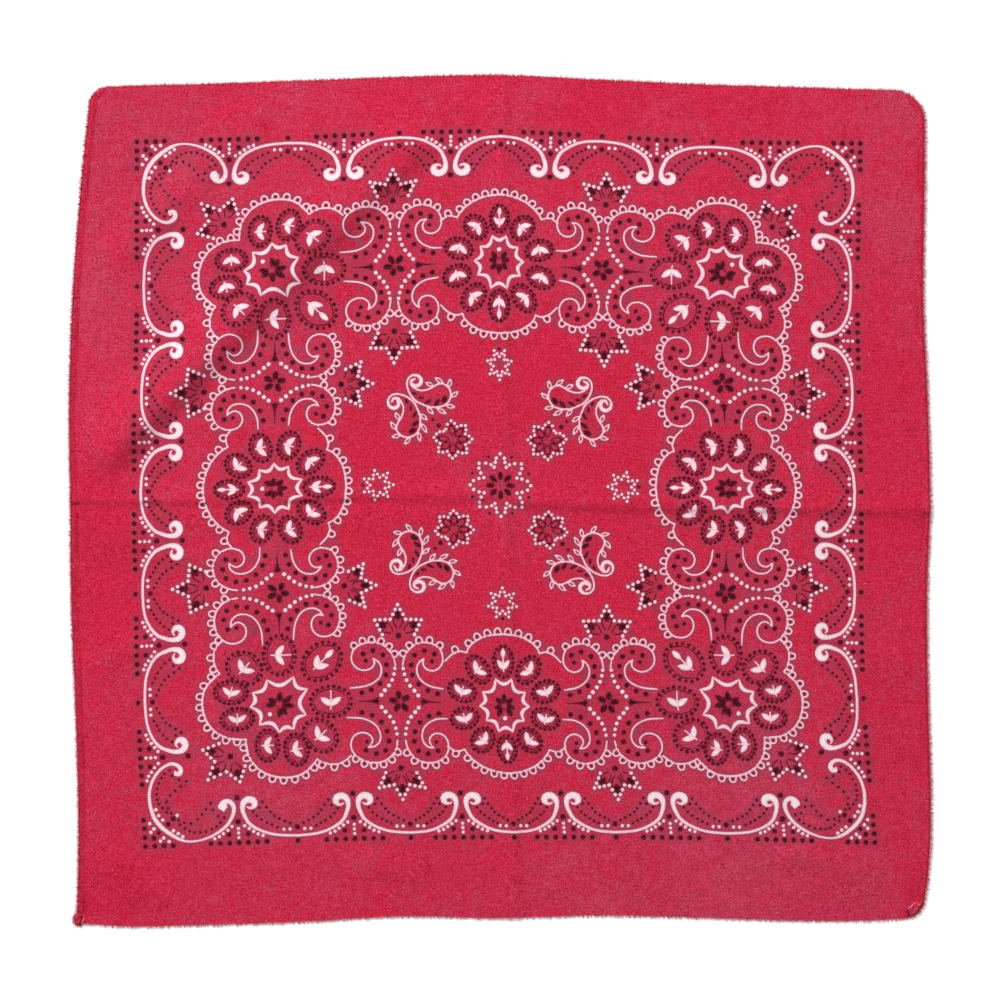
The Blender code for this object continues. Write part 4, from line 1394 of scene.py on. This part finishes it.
def hemCotton():
    # The same cotton rolled into the hem, without print: the left roll keeps its deep dye, the right one is
    # paler
    material, tree, shader = startMaterial("plain_cotton_rolled_hem", 0.9, 0.04)
    where = addNode(tree, "TexCoord", {}, "Object")
    grain, relief = wovenGrain(tree, where)
    fade = addNode(tree, "Attribute", {}, "Fac", attribute_name="fade")
    dark = addNode(tree, "Attribute", {}, "Fac", attribute_name="dark")
    rubbed = addNode(tree, "TexNoise", {"Vector": where, "Scale": 1 / (2.4 * millimetre), "Detail": 2.0})
    worn = addNode(tree, "Math", {0: rubbed, 1: 1.1, 2: fade}, operation="MULTIPLY_ADD")
    colour = redGround(tree, where, grain, worn)
    # painted shade on the hems, the hem end and the dog-ear, and darker patches, from the dark attribute
    colour = addNode(tree, "Mix", {0: dark, 6: colour, 7: linear(cottonColours["shadow"])}, 2, data_type="RGBA")
    tree.links.new(darkRim(tree, where, colour), shader.inputs["Base Color"])
    weaveBump(tree, shader, where, relief, 0.7)
    return material


def spunThread(name, dark, light, size=0.5):
    # Spun cotton thread: dark between its plies and light along them
    material, tree, shader = startMaterial(name, 0.8, 0.1)
    where = addNode(tree, "TexCoord", {}, "Object")
    plies = addNode(tree, "TexNoise", {"Vector": where, "Scale": 1 / (size * millimetre), "Detail": 2.0})
    share = addNode(tree, "MapRange", {0: plies, 1: 0.3, 2: 0.7}, interpolation_type="SMOOTHSTEP")
    colour = addNode(tree, "Mix", {0: share, 6: linear(dark), 7: linear(light)}, 2, data_type="RGBA")
    tree.links.new(colour, shader.inputs["Base Color"])
    return material


def addPiece(shape, name, material, sharp=50):
    bmesh.ops.recalc_face_normals(shape, faces=shape.faces[:])
    mesh = bpy.data.meshes.new(name)
    shape.to_mesh(mesh)
    shape.free()
    mesh.shade_smooth()
    mesh.set_sharp_from_angle(angle=math.radians(sharp))
    mesh.materials.append(material)
    piece = bpy.data.objects.new(name, mesh)
    scene.collection.objects.link(piece)
    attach(piece, "root")
    print(f"{name}: {len(mesh.polygons)} faces")
    return piece


def sweepRings(shape, rings):
    # a closed tube through rings of points, capped at both ends
    loops = [[shape.verts.new(point) for point in ring] for ring in rings]
    for near, far in zip(loops, loops[1:]):
        for i in range(len(near)):
            j = (i + 1) % len(near)
            shape.faces.new((near[i], near[j], far[j], far[i]))
    shape.faces.new(loops[0][::-1])
    shape.faces.new(loops[-1])


def threadRings(path, radius, sides=5, taper=0.4):
    # rings round a path of points, thinner at both ends
    path = [Vector(point) for point in path]
    rings = []
    for i, point in enumerate(path):
        run = (path[min(i + 1, len(path) - 1)] - path[max(i - 1, 0)]).normalized()
        aside = run.cross(Vector((0.0, 0.0, 1.0)))
        aside = (aside if aside.length > 0.01 else Vector((1.0, 0.0, 0.0))).normalized()
        above = aside.cross(run)
        size = radius * (taper if i in (0, len(path) - 1) else 1.0)
        turns = [math.tau * k / sides for k in range(sides)]
        rings.append([point + size * (math.cos(turn) * aside + math.sin(turn) * above) for turn in turns])
    return rings


# the rolled hem's section as (distance in from its edge, height), once round
hemSection = (
    (0.0046, 0.0002), (0.0045, 0.00092), (0.0038, 0.00106), (0.0029, 0.0013), (0.0019, 0.00145),
    (0.0010, 0.00138), (0.0004, 0.0010), (0.0000, 0.0006), (0.0004, 0.0000), (0.0020, 0.0000),
)
# and at each of those points how far it is from the cloth's very edge, and how shadowed it lies
hemEdge = (2.0, 2.0, 2.0, 2.0, 2.0, 1.4, 0.7, 0.2, 0.2, 2.0)
hemShadow = (1.0, 1.0, 0.8, 0.3, 0.0, 0.0, 0.0, 0.0, 0.0, 1.0)
# each hem's tone is how faded and how dark it is; taper is over how many rings its ends thin
hem = {"tone": {"left": (-0.45, 0.07), "right": (-0.30, 0.03)}, "taper": 8, "endSize": 0.72, "sharp": 58,
       "pinchIn": 0.00025, "pinchDown": 0.12, "shadow": 0.16, "startShadow": 0.35}
stitch = {"pitch": 0.0021, "radius": 0.00010, "lean": 0.0007}
# a stitch's path over the hem: (distance in, height, share of its lean)
stitchPath = ((0.00010, 0.0005, -0.5), (0.00035, 0.00105, -0.3), (0.0010, 0.00136, 0.0),
              (0.0019, 0.00143, 0.4))


def hemRun(side, step=0.00078):
    # stations up one hem's outer edge: (point, direction inwards, distance along)
    outX = -1 if side == "left" else 1
    low = cornerArc(side, "lower")[1]
    high = cornerArc(side, "upper")[1]
    ys = np.linspace(low, high, int((high - low) / step))
    stations = []
    centreX, centreY, radius = cornerArc(side, "lower")[:3]
    turns = int(radius * math.radians(hemRound[side, "lower"]) / step)
    for i in range(turns):
        x, y = onArc(side, "lower", hemRound[side, "lower"] * (1 - i / turns))
        stations.append(((x, y), Vector((centreX - x, centreY - y)).normalized()))
    for y in ys:
        x = float(sideX(side, y))
        slope = float(sideX(side, y + 0.001) - sideX(side, y - 0.001)) / 0.002
        stations.append(((x, float(y)), Vector((-outX, outX * slope)).normalized()))
    centreX, centreY, radius = cornerArc(side, "upper")[:3]
    turns = int(radius * math.radians(hemRound[side, "upper"]) / step)
    for i in range(1, turns + 1):
        x, y = onArc(side, "upper", hemRound[side, "upper"] * i / turns)
        stations.append(((x, y), Vector((centreX - x, centreY - y)).normalized()))
    along = 0.0
    run = []
    for i, (point, inward) in enumerate(stations):
        along += math.dist(point, stations[i - 1][0]) if i else 0.0
        run.append((point, inward, along))
    return run


def buildHem(side, material):
    chance = random.Random(5 if side == "left" else 6)
    run = hemRun(side)
    uneven = [(chance.uniform(0.02, 0.06), chance.uniform(0, math.tau), chance.uniform(0.02, 0.05))
              for _ in range(5)]
    shape = bmesh.new()
    rings = []
    for i, ((x, y), inward, along) in enumerate(run):
        ends = softStep(min(i, len(run) - 1 - i) / hem["taper"])
        pinch = (0.5 + 0.5 * math.cos(math.tau * along / stitch["pitch"])) ** 2
        wave = 1.0 + sum(size * math.sin(along / length + start) for length, start, size in uneven) * 0.7
        ground = float(liftAt(x + inward.x * hemWidth, y + inward.y * hemWidth))
        ring = []
        for inset, height in hemSection:
            top = height > 0.0010
            pulled = hem["pinchIn"] * pinch if inset < 0.001 else 0.0
            moved = mixed(0.0004, inset, mixed(0.55, 1.0, ends)) + pulled
            pressed = 1.0 - (hem["pinchDown"] * pinch if top else 0.0)
            raised = height * wave * pressed * mixed(0.75, 1.0, ends)
            ring.append((x + inward.x * moved, y + inward.y * moved, ground + raised))
        rings.append(ring)
    last = len(rings) - 1
    for i in (0, last):
        middle = np.mean(rings[i], axis=0)
        rings[i] = [tuple(middle + (np.array(point) - middle) * hem["endSize"]) for point in rings[i]]
    sweepRings(shape, rings)
    edge, fade, dark = (shape.verts.layers.float.new(name) for name in ("edge", "fade", "dark"))
    tone, deepened = hem["tone"][side]
    for i, vert in enumerate(shape.verts):
        at = i % len(hemSection)
        # painted shade in slow patches along the hem's inner slope and underside, and more at the left hem's
        # lower start
        shadePatch = max(math.sin(i / 90.0) + math.sin(i / 230.0 + 1.0), 0.0)
        start = hem["startShadow"] * softStep(1.0 - i / (14.0 * len(hemSection))) if side == "left" else 0.0
        vert[edge] = hemEdge[at]
        vert[fade], vert[dark] = tone, deepened + (hem["shadow"] * shadePatch + start) * hemShadow[at]
    return addPiece(shape, "rolled_hem_" + side, material, hem["sharp"])


def buildStitches(material):
    # overcast thread: one slanting stitch over the hem in each pinch
    shape = bmesh.new()
    for side in ("left", "right"):
        chance = random.Random(15 if side == "left" else 16)
        run = hemRun(side)
        count = int(run[-1][2] / stitch["pitch"])
        at = 0
        for k in range(1, count):
            goal = k * stitch["pitch"]
            while run[at][2] < goal:
                at += 1
            (x, y), inward, _ = run[at]
            onward = Vector((-inward.y, inward.x)) * (1 if side == "right" else -1)
            onward = onward if onward.y > 0 or abs(onward.y) < 0.4 else -onward
            ground = float(liftAt(x + inward.x * hemWidth, y + inward.y * hemWidth))
            lean = stitch["lean"] * chance.uniform(0.6, 1.3)
            path = []
            for inset, height, share in stitchPath:
                spot = Vector((x, y)) + inward * inset + onward * lean * share
                path.append((spot.x, spot.y, ground + height))
            sweepRings(shape, threadRings(path, stitch["radius"] * chance.uniform(0.85, 1.15), 4, 0.7))
    return addPiece(shape, "hem_stitches", material)


# the hem end's hollow and furrow, on a ball with a radius of 1
hollow = {"x": 0.55, "y": 0.32, "spread": 0.07, "depth": 0.62}
furrow = {"x": 0.8, "y": -0.6, "start": 0.12, "spread": 0.02, "depth": 0.20}


def hemEndSize():
    # the hem end's middle and half its width and length
    return ((hemEnd["left"] + hemEnd["right"]) / 2, (hemEnd["lower"] + hemEnd["upper"]) / 2,
            (hemEnd["right"] - hemEnd["left"]) / 2, (hemEnd["upper"] - hemEnd["lower"]) / 2)


def buildHemEnd(material):
    # the left hem's lower end, doubled back and caught down: two fat lobes with a hollow between them
    shape = bmesh.new()
    bmesh.ops.create_uvsphere(shape, u_segments=40, v_segments=24, radius=1.0)
    middleX, middleY, halfX, halfY = hemEndSize()
    for vert in shape.verts:
        x, y, z = vert.co
        dent = math.exp(-((x - hollow["x"]) ** 2 + (y - hollow["y"]) ** 2) / hollow["spread"])
        across = furrow["x"] * x + furrow["y"] * y + furrow["start"]
        groove = math.exp(-(across ** 2) / furrow["spread"]) * max(z, 0.0)
        swell = 1.0 + 0.05 * math.sin(3.0 * math.atan2(y, x) + 0.7)
        high = max(z, 0.0) * (1.0 - hollow["depth"] * dent - furrow["depth"] * groove)
        top = hemEnd["height"] * high ** 0.85 if high > 0 else 0.0
        vert.co = (middleX + halfX * x * swell * 0.95, middleY + halfY * y * swell * 0.95, top)
    bmesh.ops.remove_doubles(shape, verts=shape.verts[:], dist=0.00001)
    edge, fade, dark = (shape.verts.layers.float.new(name) for name in ("edge", "fade", "dark"))
    for vert in shape.verts:
        # the edge attribute falls with height, so the rim's grey purple darkens the lump towards the bottom
        vert[edge] = 0.25 + 1.1 * vert.co.z / hemEnd["height"]
        # painted shade: the lump is darkened all over, and most in its hollow
        besideX = (vert.co.x - middleX) / halfX - hollow["x"]
        besideY = (vert.co.y - middleY) / halfY - hollow["y"]
        hollowShade = math.exp(-besideX ** 2 / 0.08 - besideY ** 2 / 0.12)
        vert[fade], vert[dark] = -0.30, 0.22 + 0.55 * hollowShade
    return addPiece(shape, "hem_end_lump", material, 80)


def dogEarOutline():
    centreX, centreY = cornerArc("right", "lower")[:2]
    free = [(centreX + x, centreY + y) for x, y in dogEar["freeEdge"]]
    edge = []
    for (ax, ay), (bx, by) in zip(free, free[1:]):
        steps = max(int(math.dist((ax, ay), (bx, by)) / dogEar["edgeStep"]), 1)
        edge += [(mixed(ax, bx, i / steps), mixed(ay, by, i / steps)) for i in range(steps)]
    edge.append(free[-1])
    first, last = dogEar["arc"]
    arc = [onArc("right", "lower", mixed(-last, -first, i / 14), dogEar["inset"]) for i in range(15)]
    return edge + arc


def buildDogEar(material):
    # a small turned corner on the cloth, puffed between its fold and its free edge
    outline = dogEarOutline()
    low = np.min(outline, axis=0)
    high = np.max(outline, axis=0)
    xs, ys = np.meshgrid(*(np.arange(low[i], high[i], dogEar["grid"]) for i in (0, 1)))
    inner = np.column_stack([xs.ravel(), ys.ravel()])
    inner = inner[isWithin(outline, inner, dogEar["clear"])]
    ring = [list(range(len(outline)))]
    flat = delaunay_2d_cdt([Vector(point) for point in outline + list(inner)], [], ring, 1, 1e-8)
    points = np.array([tuple(point) for point in flat[0]])
    a = np.array(outline)
    run = np.roll(a, -1, axis=0) - a
    share = ((points[:, None] - a) * run).sum(axis=2) / np.maximum((run ** 2).sum(axis=1), 1e-14)
    share = np.clip(share, 0, 1)
    inside = np.linalg.norm(points[:, None] - a - share[..., None] * run, axis=2).min(axis=1)
    base = liftAt(points[:, 0], points[:, 1]) + clothWall
    creases = sum(height * np.sin((points[:, 0] * alongX + points[:, 1] * alongY) / width)
                  for height, alongX, alongY, width in earCreases)
    thick = dogEar["flat"] + dogEar["puff"] * softStep(inside / dogEar["rounding"])
    thick += creases * softStep(inside / creaseStart)
    shape = bmesh.new()
    upper = [shape.verts.new((x, y, z)) for (x, y), z in zip(points, base + thick)]
    lower = [shape.verts.new((x, y, z)) for (x, y), z in zip(points, base - dogEar["sunk"])]
    for face in flat[2]:
        shape.faces.new([upper[i] for i in face])
        shape.faces.new([lower[i] for i in reversed(face)])
    for i in range(len(outline)):
        j = (i + 1) % len(outline)
        shape.faces.new((upper[j], upper[i], lower[i], lower[j]))
    edge, fade, dark = (shape.verts.layers.float.new(name) for name in ("edge", "fade", "dark"))
    for i, vert in enumerate(shape.verts):
        vert[edge] = 2.0
        # painted shade along the turned corner's whole outline
        shade = 1.0 - softStep(inside[i % len(points)] / dogEar["rim"])
        vert[fade], vert[dark] = -0.1, dogEar["shadow"] * shade
    return addPiece(shape, "dog_ear", material, 80)


# loose thread at both lower corners: (points as x, y, height), radius
looseThreads = (
    (((-0.2549, -0.2556, 0.0013), (-0.2552, -0.2570, 0.0018), (-0.2558, -0.2583, 0.0020),
      (-0.2564, -0.2594, 0.0018)), 0.00028),
    (((-0.2590, -0.2586, 0.0027), (-0.2582, -0.2580, 0.0028), (-0.2576, -0.2572, 0.0026)), 0.00014),
    (((0.2501, -0.2502, 0.0026), (0.2511, -0.2491, 0.0031), (0.2526, -0.2477, 0.0032),
      (0.2540, -0.2465, 0.0028)), 0.00030),
    (((0.2553, -0.2478, 0.0032), (0.2562, -0.2474, 0.0033), (0.2572, -0.2476, 0.0030)), 0.00020),
)


def buildLooseThreads(material):
    shape = bmesh.new()
    for points, radius in looseThreads:
        points = np.array(points)
        places = np.arange(len(points))
        path = throughTable(places, points, np.linspace(0, len(points) - 1, 4 * len(points)))
        sweepRings(shape, threadRings(path, radius, 6))
    return addPiece(shape, "loose_threads", material)


lint = {"step": 0.00010, "length": (0.0012, 0.0038), "width": (0.00008, 0.00016), "onHem": 0.0008,
        "onSelvedge": 0.0002, "swing": 0.75, "rise": (-0.10, 0.35), "root": 0.0003, "lowest": 0.0001}


def buildLint(material):
    # short loose fibres round the edge, each a thin closed spike
    chance = random.Random(31)
    shape = bmesh.new()
    outline = clothOutline(0.0, 0.0015)
    middleX, middleY, halfX, halfY = hemEndSize()
    turns = [math.radians(degrees) for degrees in range(120, 330, 15)]
    lump = [(middleX + halfX * math.cos(turn), middleY + halfY * math.sin(turn)) for turn in turns]
    sides = list(zip(outline, outline[1:] + outline[:1])) + list(zip(lump, lump[1:]))
    for (ax, ay), (bx, by) in sides:
        length = math.dist((ax, ay), (bx, by))
        outward = Vector((by - ay, ax - bx)).normalized()
        onHem = abs(outward.x) > 0.7
        count = length / lint["step"]
        for _ in range(int(count + chance.random())):
            share = chance.random()
            height = lint["onHem"] if onHem else lint["onSelvedge"]
            foot = Vector((mixed(ax, bx, share), mixed(ay, by, share), 0.0))
            foot.z = float(liftAt(foot.x, foot.y)) + height + chance.uniform(0.0, 0.0007)
            swing = chance.gauss(0.0, lint["swing"])
            way = Vector((outward.x * math.cos(swing) - outward.y * math.sin(swing),
                          outward.x * math.sin(swing) + outward.y * math.cos(swing),
                          chance.uniform(*lint["rise"])))
            long = mixed(*lint["length"], chance.random() ** 1.5)
            wide = chance.uniform(*lint["width"])
            aside = way.cross(Vector((0, 0, 1))).normalized() * wide
            foot -= Vector((outward.x, outward.y, 0.0)) * lint["root"]
            above = Vector((0, 0, wide * 1.6))
            corners = [shape.verts.new(spot) for spot in (foot + aside, foot - aside, foot + above)]
            tip = foot + way * long
            tip = shape.verts.new((tip.x, tip.y, max(tip.z, lint["lowest"])))
            shape.faces.new(corners)
            for i in range(3):
                shape.faces.new((corners[i], corners[(i + 1) % 3], tip))
    return addPiece(shape, "edge_lint", material, 180)


clothPiece = buildCloth(printedCotton())
rolled = hemCotton()
hemLeft = buildHem("left", rolled)
hemRight = buildHem("right", rolled)
endLeft = buildHemEnd(rolled)
dogEarPiece = buildDogEar(rolled)
stitchPiece = buildStitches(spunThread("sewing_thread_wine", "#661830", "#A83650"))
threadPiece = buildLooseThreads(spunThread("loose_thread_pale", "#D85878", "#F4A0B4"))
lintPiece = buildLint(spunThread("cotton_lint", "#C03A58", "#EC7A90", 1.2))

for piece, node, slot in ((clothPiece, "panel", "printed_cotton"), (hemLeft, "hem_left", "hem_cotton"),
                          (hemRight, "hem_right", "hem_cotton"), (endLeft, "hem_end_left", "hem_cotton"),
                          (dogEarPiece, "corner_fold_right", "hem_cotton")):
    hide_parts(node)

# a floor of white acrylic lit from below, a bright room and one window at the upper left
acrylic = {"half": 1.5, "colour": (0.93, 0.93, 0.93, 1.0), "glow": 0.45, "roughness": 0.9}
room = {"colour": (1.0, 1.0, 1.0, 1.0), "strength": 0.42}
window = {"energy": 135.0, "size": 0.9, "location": (-1.60, 2.68, 2.00)}

floorShape = bmesh.new()
bmesh.ops.create_grid(floorShape, x_segments=8, y_segments=8, size=acrylic["half"])
floorMesh = bpy.data.meshes.new("floor")
floorShape.to_mesh(floorMesh)
floorShape.free()
floor = bpy.data.objects.new("floor", floorMesh)
scene.collection.objects.link(floor)
# Cast acrylic with a satin face, lit from behind: it takes only soft, pale shadows
floorMaterial, _, floorShader = startMaterial("lit_white_acrylic", acrylic["roughness"], 0.0)
floorShader.inputs["Base Color"].default_value = acrylic["colour"]
floorShader.inputs["Emission Color"].default_value = (1.0, 1.0, 1.0, 1.0)
floorShader.inputs["Emission Strength"].default_value = acrylic["glow"]
floorMesh.materials.append(floorMaterial)

world = bpy.data.worlds.new("studio")
world.use_nodes = True
world.node_tree.nodes["Background"].inputs["Color"].default_value = room["colour"]
world.node_tree.nodes["Background"].inputs["Strength"].default_value = room["strength"]
scene.world = world

lamp = bpy.data.lights.new("window", "AREA")
lamp.energy = window["energy"]
lamp.size = window["size"]
lampHolder = bpy.data.objects.new("window", lamp)
lampHolder.location = window["location"]
lampHolder.rotation_euler = (-Vector(window["location"])).to_track_quat("-Z", "Y").to_euler()
scene.collection.objects.link(lampHolder)
print("stage: floor, room and window")
